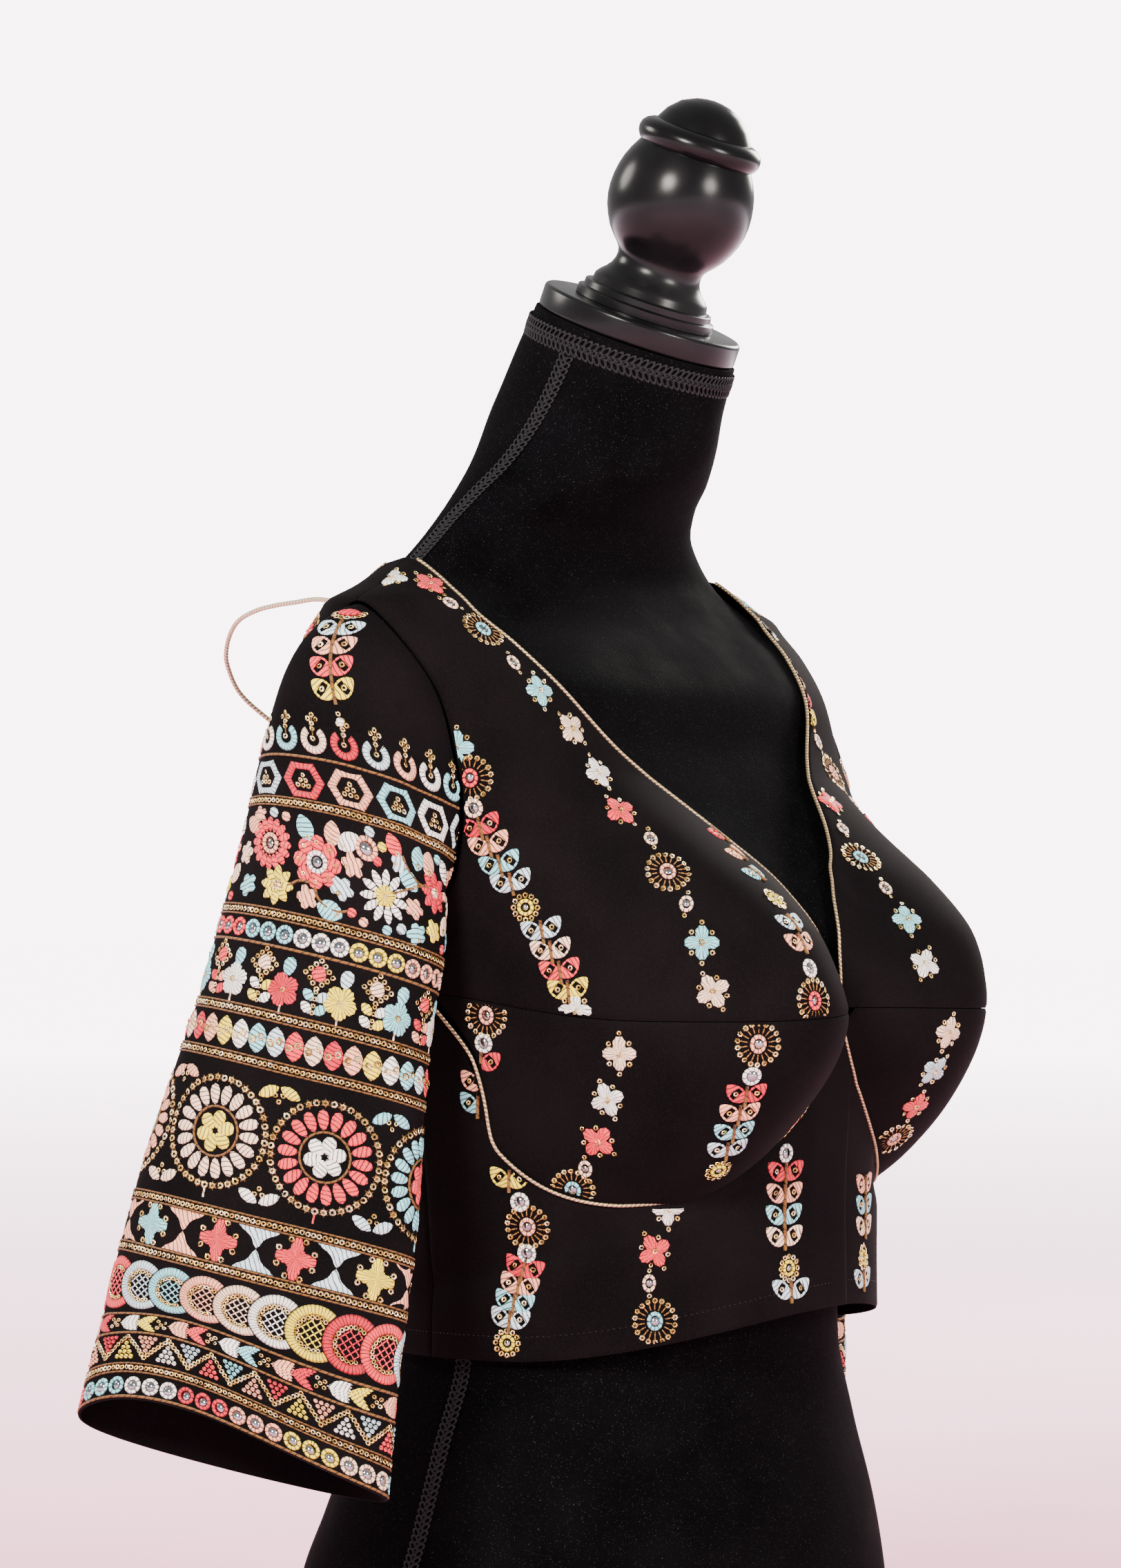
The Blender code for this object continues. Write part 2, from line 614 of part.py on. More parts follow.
def sleeve_point(side, turn, down):
    """Point of a sleeve: down is 0 at the armhole and 1 at the cuff."""
    turn, down = np.broadcast_arrays(np.asarray(turn, float), np.asarray(down, float))
    cap = np.clip(down / CAP_SHARE, 0, 1)[..., None]
    tube = np.clip((down - CAP_SHARE) / (1 - CAP_SHARE), 0, 1)
    hole_angle, hole_z = armhole(turn, 0.99)
    start = body_point(side, hole_angle, hole_z)
    first = sleeve_ring(side, turn, np.full(turn.shape, FIRST_RING))
    next_ring = sleeve_ring(side, turn, np.full(turn.shape, FIRST_RING - 10 * MM))
    fall = (next_ring - first) / np.linalg.norm(next_ring - first, axis=-1, keepdims=True)
    reach = np.linalg.norm(first - start, axis=-1, keepdims=True)
    top = (0.5 + 0.5 * np.cos(turn))[..., None]
    backward = CAP_BACK * np.clip(0.4 - np.sin(turn), 0, 1)
    leave = np.stack([np.full(turn.shape, side * 1.0), backward, -0.35 - 0.5 * (1 - top[..., 0])], -1)
    leave = leave / np.linalg.norm(leave, axis=-1, keepdims=True)
    t = cap
    curve = (1 + 2 * t) * (1 - t) ** 2 * start + t * (1 - t) ** 2 * reach * leave * (0.7 + 0.5 * top)
    curve = curve + t * t * (3 - 2 * t) * first - t * t * (1 - t) * reach * fall * (0.9 + 0.3 * top)
    rings = sleeve_ring(side, turn, FIRST_RING + (CUFF_HEIGHT - FIRST_RING) * tube)
    point = np.where(down[..., None] <= CAP_SHARE, curve, rings)
    _, outward = sleeve_axes(side)
    heart = sleeve_ring(side, turn + math.pi, FIRST_RING + (CUFF_HEIGHT - FIRST_RING) * tube)
    inward = heart - rings
    inward = inward / np.linalg.norm(inward, axis=-1, keepdims=True)
    for row_down, around, depth, length, width in DENT_ROWS:
        off = np.angle(np.exp(1j * (turn - math.radians(around))))
        weight = np.exp(-(((down - row_down) / length) ** 2) - (off / math.radians(width)) ** 2)
        point = point + (depth * MM * weight * ease(down / 0.06))[..., None] * inward
    off = np.degrees(np.angle(np.exp(1j * (turn - math.radians(CUFF_RISE_TURN)))))
    rise = CUFF_RISE * np.exp(-((off / CUFF_RISE_SPREAD) ** 2)) * ease((down - 0.78) / 0.16)
    return point - rise[..., None] * fall


def sleeve(side, rows=16, around=28):
    turn = np.arange(around) * 2 * math.pi / around
    down = np.concatenate([np.linspace(0, CAP_SHARE, 7)[:-1], np.linspace(CAP_SHARE, 1, rows - 6)])
    v, u = np.meshgrid(down, turn, indexing="ij")
    outer = sleeve_point(side, u, v)
    found = normals(lambda a, b: sleeve_point(side, a, np.clip(b, 0, 1)), u, v, 0.03, 0.012)
    found = found * side
    return wall_mesh(f"sleeve_{label(side)}", [(outer, outer - CLOTH * found)], EMBROIDERED, closed_rows=True)


# ------------------------------------------------------------------ trim
def label(side):
    return "right" if side < 0 else "left"


def tube(name, points, radius, finish, resolution):
    """A round cord along points, with filled ends."""
    curve = bpy.data.curves.new(name, "CURVE")
    curve.dimensions = "3D"
    curve.bevel_depth = radius
    curve.bevel_resolution = resolution
    curve.use_fill_caps = True
    spline = curve.splines.new("POLY")
    spline.points.add(len(points) - 1)
    for item, point in zip(spline.points, points):
        item.co = (*point, 1)
    spline.use_smooth = True
    return add_object(name, curve, finish)


def smooth_route(route, count):
    """Evenly spaced points on a smooth curve through a route's own points."""
    knots = np.array(route, float)
    ends = np.vstack([2 * knots[0] - knots[1], knots, 2 * knots[-1] - knots[-2]])
    fine = []
    for i in range(1, len(ends) - 2):
        a, b, c, d = ends[i - 1 : i + 3]
        for t in np.linspace(0, 1, 24, endpoint=False):
            bend = (2 * a - 5 * b + 4 * c - d) * t * t + (3 * b - a - 3 * c + d) * t**3
            fine.append(0.5 * (2 * b + (c - a) * t + bend))
    fine = np.array([*fine, knots[-1]])
    run = np.concatenate([[0], np.cumsum(np.linalg.norm(np.diff(fine, axis=0), axis=1))])
    return np.stack([np.interp(np.linspace(0, run[-1], count), run, fine[:, k]) for k in range(3)], -1)


def edge_route(side, angle, z, away):
    """Points beside a panel's edge: half a wall in, and off the edge by a gap and the piping's radius."""
    on_edge = body_point(side, angle, z)
    out = body_normals(side, angle, z)
    run = np.gradient(on_edge, axis=0)
    off = np.cross(out, run)
    off = off / np.linalg.norm(off, axis=1, keepdims=True)
    sign = np.sign((off * away).sum(axis=1, keepdims=True))
    return on_edge - out * CLOTH / 2 + off * sign * (PIPING_RADIUS + GAP)


def neck_piping(side):
    steps = np.clip(FRONT_NECK_STEPS, 0.02, 0.992)
    angle, z = front_neck(steps)
    route = edge_route(side, angle, z, np.array([-side, 0, 0.3]))
    return tube(f"neck_piping_{label(side)}", route, PIPING_RADIUS, GOLD_CORD, 1)


def back_neck_piping():
    steps = np.clip(BACK_STEPS[BACK_STEPS >= BACK_NECK_SHARE], 0, 0.992)
    halves = []
    for side in (-1, 1):
        angle, z = back_middle(steps, BACK_NECK_SHARE)
        halves.append(edge_route(side, angle, z, np.array([-side * 0.5, 0, 1.0])))
    middle = (halves[0][:1] + halves[1][:1]) / 2
    route = np.vstack([halves[0][:0:-1], middle, halves[1][1:]])
    return tube("neck_piping_back", route, PIPING_RADIUS, GOLD_CORD, 1)


def under_bust_piping(side):
    angle, z = under_bust(np.clip(SEAM_STEPS, 0.035, 0.985))
    out = body_normals(side, angle, z)
    route = body_point(side, angle, z, out=lap_lift(side, angle)) + out * (PIPING_RADIUS + GAP)
    return tube(f"under_bust_piping_{label(side)}", route, PIPING_RADIUS, GOLD_CORD, 1)


def dori(side):
    start_angle = neck_angle(DORI_START, back=True) - 1.5
    start = body_point(side, start_angle, DORI_START, out=DORI_RADIUS + 2 * GAP)
    route = [start] + [(side * x * MM, y * MM, z * MM) for x, y, z in DORI_ROUTE]
    return tube(f"dori_{label(side)}", smooth_route(route, 36), DORI_RADIUS, GOLD_CORD, 2)


def tail(side):
    length = TAIL_LENGTH * (1 if side > 0 else 0.88)
    shares = (0, 0.12, 0.3, 0.5, 0.7, 0.85, 1)
    route = []
    for share in shares:
        z = KNOT_HEIGHT - KNOT_RADIUS - GAP - length * share
        x = 2.2 * MM + 7 * MM * share + 2 * MM * math.sin(5 * share)
        y = float(body_point(side, 180 - math.degrees(x / (110 * MM)), z)[1]) + DORI_RADIUS + 0.9 * MM
        route.append((side * x, y + (KNOT_BACK - y) * (1 - ease(share / 0.4)), z))
    return tube(f"dori_tail_{label(side)}", smooth_route(route, 18), DORI_RADIUS, GOLD_CORD, 2)


def knot():
    bpy.ops.mesh.primitive_uv_sphere_add(segments=16, ring_count=10, radius=KNOT_RADIUS)
    made = bpy.context.active_object
    made.name = made.data.name = "dori_knot"
    made.scale = (1, 0.8, 1)
    made.location = (0, KNOT_BACK, KNOT_HEIGHT)
    made.data.materials.append(material(GOLD_CORD))
    made.data.shade_smooth()
    for holder in list(made.users_collection):
        holder.objects.unlink(made)
    parts.objects.link(made)
    return made


# ------------------------------------------------------------------ the dress form
def form_body(around=32):
    """The padded body and neck: rings from the flat underside up to the tilted top of the neck."""
    names = ("half_width", "middle_y", "front", "back", "squareness", "tilt", "cup_height")
    place = {name: FORM_COLUMNS.index(name) for name in names}
    angles = np.arange(around) * 2 * math.pi / around
    mesh = bmesh.new()
    rings = []
    for row in FORM_ROWS:
        z = row[0] * MM
        x, y = section(angles, np.full(around, z), FORM_ROWS, FORM_COLUMNS, row[place["cup_height"]] * MM)
        tilt = math.radians(row[place["tilt"]])
        middle = row[place["middle_y"]] * MM
        flat = y - middle
        ring = np.stack([x, middle + flat * math.cos(tilt), z + flat * math.sin(tilt)], -1)
        rings.append([mesh.verts.new(point) for point in ring])
    for low, high in zip(rings, rings[1:]):
        for i in range(around):
            j = (i + 1) % around
            mesh.faces.new((low[i], low[j], high[j], high[i]))
    mesh.faces.new(rings[0][::-1])
    mesh.faces.new(rings[-1])
    bmesh.ops.recalc_face_normals(mesh, faces=mesh.faces)
    data = bpy.data.meshes.new("form_body")
    mesh.to_mesh(data)
    mesh.free()
    data.shade_smooth()
    data.set_sharp_from_angle(angle=math.radians(50))
    return add_object("form_body", data, VELVET)


def on_neck(item, above):
    """Stand an object on the neck's tilted top."""
    item.rotation_euler = (NECK_TILT, 0, 0)
    item.location = NECK_TOP + Vector((0, -math.sin(NECK_TILT), math.cos(NECK_TILT))) * above


def neck_cap():
    bpy.ops.mesh.primitive_cylinder_add(vertices=36, radius=CAP_RADIUS, depth=CAP_THICKNESS)
    made = bpy.context.active_object
    made.name = made.data.name = "neck_cap"
    edge = made.modifiers.new("round_edges", "BEVEL")
    edge.width = CAP_EDGE
    edge.segments = 1
    made.data.materials.append(material(BLACK_WOOD))
    on_neck(made, GAP + CAP_THICKNESS / 2)
    for holder in list(made.users_collection):
        holder.objects.unlink(made)
    parts.objects.link(made)
    return made


def finial(steps=24):
    data = bpy.data.meshes.new("finial")
    points = [(radius * MM, 0, above * MM) for above, radius in FINIAL_ROWS]
    data.from_pydata(points, [(i, i + 1) for i in range(len(points) - 1)], [])
    made = add_object("finial", data, BLACK_WOOD)
    turn = made.modifiers.new("turn", "SCREW")
    turn.steps = steps
    turn.render_steps = steps
    turn.use_merge_vertices = True
    turn.merge_threshold = 0.00005
    turn.use_smooth_shade = True
    on_neck(made, 2 * GAP + CAP_THICKNESS)
    return made


# ------------------------------------------------------------------ make the whole part
clear_scene()
parts = bpy.data.collections.new("choli_blouse")
bpy.context.scene.collection.children.link(parts)

form_body()
neck_cap()
finial()
back()
for which in (-1, 1):
    upper_cup(which)
    lower_cup(which)
    midriff(which)
    sleeve(which)
    neck_piping(which)
    under_bust_piping(which)
    dori(which)
    tail(which)
back_neck_piping()
knot()
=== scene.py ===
"""A hand-embroidered choli blouse worn on a velvet dress form.

Metres, +Z up; the front faces -Y and the wearer's right is -X. Places on the body are given by a side (-1 right,
+1 left), an angle round it in degrees (0 at the centre front, 180 at the centre back) and a height.
"""

import math

import bpy
import numpy as np
from mathutils import Matrix, Vector


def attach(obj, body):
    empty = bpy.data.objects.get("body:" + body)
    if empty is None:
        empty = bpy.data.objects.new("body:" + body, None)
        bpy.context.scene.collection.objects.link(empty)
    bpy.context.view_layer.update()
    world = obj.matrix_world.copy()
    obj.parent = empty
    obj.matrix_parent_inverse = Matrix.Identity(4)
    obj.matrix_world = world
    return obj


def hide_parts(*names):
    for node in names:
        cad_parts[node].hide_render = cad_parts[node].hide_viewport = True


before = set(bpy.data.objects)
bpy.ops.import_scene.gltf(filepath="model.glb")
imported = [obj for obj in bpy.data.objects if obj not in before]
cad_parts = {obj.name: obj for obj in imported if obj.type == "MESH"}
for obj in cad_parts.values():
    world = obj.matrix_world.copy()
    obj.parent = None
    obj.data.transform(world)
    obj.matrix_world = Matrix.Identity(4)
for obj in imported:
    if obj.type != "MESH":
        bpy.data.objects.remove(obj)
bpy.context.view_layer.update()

# ---- camera
# A long lens, level, a little above the waist, from the wearer's right front.
MM = 0.001


def new_object(name, data):
    made = bpy.data.objects.new(name, data)
    bpy.context.scene.collection.objects.link(made)
    return made


camera_data = bpy.data.cameras.new("camera")
camera_data.sensor_fit = "VERTICAL"
camera_data.sensor_height = 36.0
camera_data.lens = 112.9
camera_data.shift_y = 0.0284  # share of the picture's height
camera = new_object("camera", camera_data)
camera.location = (-2.193, -1.397, 0.491)
camera.rotation_euler = (math.radians(90), 0, math.radians(-57))
bpy.context.scene.camera = camera

# ---- back ties
# Two doris, round cords of gold lurex over cotton, leave the back neckline, loop out behind the shoulders and
# meet in a knot at the middle of the back. Their cut ends hang below it.
GAP = 0.3 * MM
CLOTH = 1.2 * MM
DORI_RADIUS = 1.25 * MM
KNOT_RADIUS = 5.5 * MM
KNOT_BACK = 126.5 * MM
KNOT_HEIGHT = 497 * MM
TAIL_LENGTHS = {-1: 0.88 * 95 * MM, 1: 95 * MM}
DORI_START = 607 * MM
# x, y, height.
DORI_ROUTE = (
    (138, 88, 609), (134, 104, 608), (130, 119, 607), (125, 135, 605), (118, 151, 601), (110, 163, 595),
    (101, 173, 586), (93, 178, 577), (79, 180, 563), (62, 173, 549), (45, 161, 535), (30, 149, 521), (17, 138, 509),
    (8, 131, 500),
)
# The blouse's sections from the hem up, with these columns.
HEIGHT, HALF_WIDTH, MIDDLE_Y, FRONT, BACK, SQUARENESS = range(6)
BODY_ROWS = (
    (200, 146, -8, 133, 114, 2.1), (250, 146, -8, 132, 112, 2.1), (300, 150, -8, 131, 112, 2.1),
    (350, 157, -7, 134, 113, 2.2), (397, 164, -5, 138, 116, 2.4), (433, 169, -2, 135, 118, 2.6),
    (462, 173, 1, 122, 118, 2.8), (485, 176, 4, 107, 116, 3), (510, 180, 7, 93, 112, 3.2),
    (530, 184, 10, 83, 108, 3.3), (560, 190, 14, 74, 96, 3.2), (585, 195, 18, 59, 82, 2.9),
    (604, 196, 21, 43, 64, 2.4), (615, 172, 23, 38, 54, 2.2), (629, 147, 26, 35, 46, 2),
    (652, 115, 27, 34, 40, 2),
)
# Height, and half the width of the front and of the back neckline.
FRONT_NECK, BACK_NECK_LINE = 1, 2
NECK_ROWS = (
    (399, 0, 0), (433, 8, 0), (462, 25, 0), (482, 47, 0), (505, 69, 0), (509, 72, 35), (527, 91, 74),
    (557, 118, 108), (585, 135, 131), (604, 144, 143), (629, 147, 147),
)
NECK_SMOOTHING = (-9, -6, -3, 0, 3, 6, 9)
CUP_MIDDLE_X = 100 * MM
CUP_MIDDLE_Z = 400 * MM
CUP_INNER = 100 * MM
CUP_DOWN = 97 * MM
CUP_UP = 120 * MM
CUP_HEIGHT = 52 * MM
CUP_INNER_POWER = 1.4
CUP_OUTER_POWER = 5.0
# Folds and creases of the cloth: side, angle, height, angle, height, depth, width. Less than nothing is a ridge.
FOLD_ROWS = (
    (-1, 28, 312, 98, 262, 3, 9), (-1, 38, 303, 46, 256, 1.4, 9), (-1, 62, 486, 38, 490, 2.2, 8),
    (-1, 52, 411, 34, 412, 1.2, 6), (-1, 58, 402, 58, 380, 0.9, 4), (1, 26, 310, 92, 268, 2.6, 9),
    (1, 44, 302, 50, 258, 1.4, 10), (1, 60, 482, 40, 492, 2, 8), (1, 12, 470, 16, 425, 2.4, 6),
    (1, 50, 410, 36, 413, 1.2, 6), (-1, 176, 300, 128, 262, 2.2, 10), (1, 172, 318, 126, 286, 2, 10),
    (-1, 170, 420, 122, 452, 1.6, 10), (1, 168, 404, 120, 440, 1.8, 10),
)
MIDDLE_BACK_PLAIN = math.radians(12)


def ease(share):
    """0 to 1 with a soft start and end."""
    share = np.clip(share, 0, 1)
    return share * share * (3 - 2 * share)


def hermite(t, start, leave, end, arrive):
    """A smooth run from start to end, with how fast it leaves one and arrives at the other."""
    near = (1 + 2 * t) * (1 - t) ** 2 * start + t * (1 - t) ** 2 * leave
    return near + t * t * (3 - 2 * t) * end + t * t * (t - 1) * arrive


def along(value, rows, column):
    """Smooth value of a table's column at a height, with no overshoot."""
    table = sorted(rows)
    places = np.array([row[HEIGHT] for row in table], float) * MM
    values = np.array([row[column] for row in table], float)
    steps = np.diff(places)
    slopes = np.diff(values) / steps
    tangents = np.concatenate([slopes[:1], slopes])
    for i in range(1, len(steps)):
        before, after = slopes[i - 1], slopes[i]
        early, late = 2 * steps[i] + steps[i - 1], steps[i] + 2 * steps[i - 1]
        tangents[i] = 0 if before * after <= 0 else (early + late) / (early / before + late / after)
    value = np.clip(value, places[0], places[-1])
    i = np.clip(np.searchsorted(places, value) - 1, 0, len(steps) - 1)
    t = (value - places[i]) / steps[i]
    return hermite(t, values[i], steps[i] * tangents[i], values[i + 1], steps[i] * tangents[i + 1])


def cup_swell(x, z, half_width):
    """How far a cup stands out in front of the plain body, from 0 to 1."""
    across = np.abs(x) - CUP_MIDDLE_X
    outer = np.maximum(half_width - CUP_MIDDLE_X, 30 * MM)
    p = np.where(across < 0, -across / CUP_INNER, across / outer)
    below = CUP_MIDDLE_Z - z
    q = np.where(below > 0, below / CUP_DOWN, -below / CUP_UP)
    power = np.where(below > 0, np.where(across < 0, CUP_INNER_POWER, CUP_OUTER_POWER), 2.0)
    reach = (np.abs(p) ** power + np.abs(q) ** power) ** (1 / power)
    under = np.clip(1 - reach**2.2, 0, 1)
    over = np.clip(1 - reach**2, 0, 1) ** 1.5
    blend = ease((np.arctan2(-below, np.abs(across) + 20 * MM) + 0.5) / 1.0)
    return under * (1 - blend) + over * blend


def section(angle, z, rows, swell_height):
    """Point of a cross-section: a superellipse, with the cups in front."""
    half_width, middle, front, back = (along(z, rows, i) * MM for i in (HALF_WIDTH, MIDDLE_Y, FRONT, BACK))
    power = along(z, rows, SQUARENESS)
    sine, cosine = np.sin(angle), np.cos(angle)
    size = (np.abs(sine) ** power + np.abs(cosine) ** power) ** (1 / power)
    x = half_width * sine / size
    y = middle - np.where(cosine > 0, front, back) * cosine / size
    return x, y - np.where(cosine > 0, swell_height * cup_swell(x, z, half_width), 0)


def fold_depth(side, angle, z, rows):
    """Depth of the soft troughs at a place on the body; side may be an array."""
    radius = 150 * MM
    total = np.zeros(np.broadcast(angle, z).shape)
    for fold_side, a0, z0, a1, z1, depth, width in rows:
        start = np.array([math.radians(a0) * radius, z0 * MM])
        run = np.array([math.radians(a1) * radius, z1 * MM]) - start
        u = angle * radius - start[0]
        v = z - start[1]
        share = np.clip((u * run[0] + v * run[1]) / (run @ run), 0, 1)
        away = np.hypot(u - share * run[0], v - share * run[1])
        fade = np.sin(math.pi * (0.12 + 0.76 * share)) ** 0.7
        here = depth * MM * fade * np.exp(-((away / (width * MM)) ** 2))
        total = total + np.where(np.equal(side, fold_side), here, 0)
    return total * ease((np.pi - angle) / MIDDLE_BACK_PLAIN)


def body_point(side, angle, z, out=0.0, rows=FOLD_ROWS):
    """Point of the blouse at an angle and a height, moved out by out."""
    angle = np.radians(np.asarray(angle, float))
    z = np.asarray(z, float)
    x, y = section(angle, z, BODY_ROWS, CUP_HEIGHT)
    share = 1 - (fold_depth(side, angle, z, rows) - out) / (np.hypot(x, y) + 1e-9)
    return np.stack(np.broadcast_arrays(side * x * share, y * share, z), -1)


def angle_at(x, z):
    """Angle, in degrees, at which the body's front is x from its middle."""
    power = along(z, BODY_ROWS, SQUARENESS)
    share = np.clip(np.abs(x) / (along(z, BODY_ROWS, HALF_WIDTH) * MM), 0, 1)
    return np.degrees(np.arctan2(np.sign(x) * share, (1 - share**power) ** (1 / power)))


def neck_angle(z, back=False):
    """Angle of the neckline's edge, from the front's middle or from the back's."""
    column = BACK_NECK_LINE if back else FRONT_NECK
    angle = sum(angle_at(along(z + step * MM, NECK_ROWS, column) * MM, z) for step in NECK_SMOOTHING)
    angle = angle / len(NECK_SMOOTHING)
    return 180 - angle if back else angle


def label(side):
    return "right" if side < 0 else "left"


def unit(vectors):
    return vectors / np.linalg.norm(vectors, axis=-1, keepdims=True)


def run_along(route):
    """How far along a route each of its points is."""
    return np.concatenate([[0], np.cumsum(np.linalg.norm(np.diff(route, axis=0), axis=1))])


def resample(places, run, points):
    """Points at some places on a line whose own points are at the places in run."""
    return np.stack([np.interp(places, run, points[:, k]) for k in range(3)], -1)


def smooth_route(route, count):
    """Evenly spaced points on a smooth curve through a route's own points."""
    knots = np.array(route, float)
    ends = np.vstack([2 * knots[0] - knots[1], knots, 2 * knots[-1] - knots[-2]])
    curve = []
    for i in range(1, len(ends) - 2):
        a, b, c, d = ends[i - 1 : i + 3]
        for t in np.linspace(0, 1, 24, endpoint=False):
            bend = (2 * a - 5 * b + 4 * c - d) * t * t + (3 * b - a - 3 * c + d) * t**3
            curve.append(0.5 * (2 * b + (c - a) * t + bend))
    curve = np.array([*curve, knots[-1]])
    run = run_along(curve)
    return resample(np.linspace(0, run[-1], count), run, curve)


class Value:
    """A shader socket that takes part in Python sums, each of which adds its Math node."""

    def __init__(self, finish, socket):
        self.finish = finish
        self.socket = socket

    def maths(self, operation, *values):
        return self.finish.node("ShaderNodeMath", {"operation": operation}, dict(enumerate(values)))

    def __add__(self, other):
        return self.maths("ADD", self, other)

    def __sub__(self, other):
        return self.maths("SUBTRACT", self, other)

    def __rsub__(self, other):
        return self.maths("SUBTRACT", other, self)

    def __mul__(self, other):
        return self.maths("MULTIPLY", self, other)

    __radd__, __rmul__ = __add__, __mul__

    def wave(self):
        """0 to 1 and back for each whole unit."""
        return self.maths("SINE", self * (2 * math.pi)) * 0.5 + 0.5

    def kept(self, low, high):
        """This value brought from between low and high to between 0 and 1."""
        sockets = {"Value": self, "From Min": low, "From Max": high}
        return self.finish.node("ShaderNodeMapRange", {"clamp": True}, sockets)


class Finish:
    """A material made of a Principled shader and the nodes that feed it."""

    def __init__(self, name, **constants):
        self.material = bpy.data.materials.new(name)
        self.material.use_nodes = True
        self.tree = self.material.node_tree
        self.shader = self.tree.nodes["Principled BSDF"]
        for words, value in constants.items():
            self.shader.inputs[words.replace("_", " ").title().replace("Ior", "IOR")].default_value = value

    def feed(self, socket, value):
        if isinstance(value, Value):
            self.tree.links.new(value.socket, socket)
        else:
            socket.default_value = value

    def node(self, kind, settings=None, sockets=None, output=0):
        made = self.tree.nodes.new(kind)
        for word, value in (settings or {}).items():
            setattr(made, word, value)
        for word, value in (sockets or {}).items():
            self.feed(made.inputs[word], value)
        return Value(self, made.outputs[output])

    def place(self):
        return self.node("ShaderNodeTexCoord", output="Object")

    def over_and_along(self):
        """Both numbers of the piece's own UV map."""
        place = {"Vector": self.node("ShaderNodeUVMap")}
        return [self.node("ShaderNodeSeparateXYZ", sockets=place, output=i) for i in range(2)]

    def noise(self, place, scale, detail=2.0, roughness=0.5):
        sockets = {"Vector": place, "Scale": scale, "Detail": detail, "Roughness": roughness}
        return self.node("ShaderNodeTexNoise", sockets=sockets)

    def blend(self, factor, low, high):
        """A colour between two colours."""
        low, high = (colour if isinstance(colour, Value) else (*colour, 1) for colour in (low, high))
        return self.node("ShaderNodeMix", {"data_type": "RGBA"}, {"Factor": factor, 6: low, 7: high}, output=2)

    def finished(self, colour, roughness, height=None, depth=0.0, strength=1.0):
        """The material, with its colour, its roughness and, where it has a height, its bump."""
        self.feed(self.shader.inputs["Base Color"], colour)
        self.feed(self.shader.inputs["Roughness"], roughness)
        if height is not None:
            sockets = {"Height": height, "Distance": depth, "Strength": strength}
            self.feed(self.shader.inputs["Normal"], self.node("ShaderNodeBump", sockets=sockets))
        return self.material


def lurex(name, light, dark):
    """Gold cord: strands wound round it, painted glints where a strand turns up, and painted shade between the
    strands.
    """
    made = Finish(name, roughness=0.42, metallic=0.75, specular_tint=(1, 0.85, 0.6, 1))
    round_it, along_it = made.over_and_along()
    strand = (round_it + along_it * LUREX_TURNS).wave()
    place = made.place()
    # Painted glints: small specks of the cord turned pale, as where a strand catches the light.
    painted_cord_glint = made.noise(place, 2600, 1).kept(0.56, 0.72)
    worn = made.noise(place, 160, 3).kept(0.35, 0.7)
    # Painted shade: the cord's colour goes to the dark one in the grooves between the strands.
    body = made.blend(strand.kept(0.1, 0.75) * (0.75 + worn * 0.25), dark, light)
    colour = made.blend(painted_cord_glint * 0.55, body, (0.95, 0.86, 0.68))
    return made.finished(colour, 0.5 - strand * 0.12 - painted_cord_glint * 0.15, strand, 0.35 * MM, 0.8)


LUREX_TURNS = 420  # a metre
# Gold and a dark brown; the brown is painted shade between the strands.
DORI_FINISH = lurex("gold_dori", (0.56, 0.47, 0.34), (0.26, 0.19, 0.11))


def add_mesh(name, points, faces, finish):
    """A smooth mesh object from points and lists of faces."""
    data = bpy.data.meshes.new(name)
    data.from_pydata([tuple(point) for point in points], [], [tuple(face) for face in faces])
    data.validate()
    data.materials.append(finish)
    data.shade_smooth()
    return new_object(name, data)


def dress(item, node=None):
    """Fix a finished piece to the body and hide the plain piece it stands for."""
    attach(item, "root")
    if node:
        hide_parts(node)


def ring_quads(rings, around, closed=False, steps=None):
    """Quads between rings of points, numbered ring after ring; closed joins the last ring to the first."""
    faces = []
    for i in range(rings if closed else rings - 1):
        low, high = i * around, (i + 1) % rings * around
        for k in range(steps or around):
            j = (k + 1) % around
            faces.append((low + k, low + j, high + j, high + k))
    return faces


def tube(name, route, radius, finish, sides=12):
    """A round cord with domed ends, and a UV map of (turns round it, metres along it)."""
    route = np.array(route, float)
    run = unit(np.gradient(route, axis=0))
    across = np.cross(run[0], (0.3, 0.2, 0.9))
    spin = (np.arange(sides) * 2 * math.pi / sides)[:, None]
    rings = []
    for ahead, place in zip(run, route):
        across = unit(across - (across @ ahead) * ahead)
        rings.append(place + radius * (np.cos(spin) * across + np.sin(spin) * np.cross(ahead, across)))
    tips = [route[:1] - run[0] * radius * 0.3, route[-1:] + run[-1] * radius * 0.3]
    last = len(route) * sides
    faces = ring_quads(len(route), sides)
    for k in range(sides):
        j = (k + 1) % sides
        faces += [(j, k, last), (last - sides + k, last - sides + j, last + 1)]
    made = add_mesh(name, np.vstack([*rings, *tips]), faces, finish)
    length = run_along(route)
    corners = []
    for face in made.data.polygons:
        places = [divmod(index, sides) for index in face.vertices]
        seam = max(k for _, k in places) - min(k for _, k in places) > sides // 2
        for i, k in places:
            corners += [(k + (sides if seam and k == 0 else 0)) / sides, length[min(i, len(route) - 1)]]
    made.data.uv_layers.new(name="UVMap").data.foreach_set("uv", corners)
    return made


bpy.ops.mesh.primitive_uv_sphere_add(segments=48, ring_count=32, radius=KNOT_RADIUS)
dori_knot = bpy.context.active_object
dori_knot.name = dori_knot.data.name = "dori_knot_wound"
for vert in dori_knot.data.vertices:
    # The windings of the knot: three rounded turns that cross its face on a slant.
    place = vert.co.normalized()
    slant = math.sin(9 * place.z + 3.0 * place.x + 1.5 * math.sin(2 * math.atan2(place.y, place.x)))
    vert.co = Vector((place.x, place.y * 0.8, place.z)) * KNOT_RADIUS * (1 + 0.075 * slant)
    vert.co += Vector((0, KNOT_BACK, KNOT_HEIGHT))
dori_knot.data.shade_smooth()
dori_knot.data.materials.append(DORI_FINISH)
dress(dori_knot, "dori_knot")


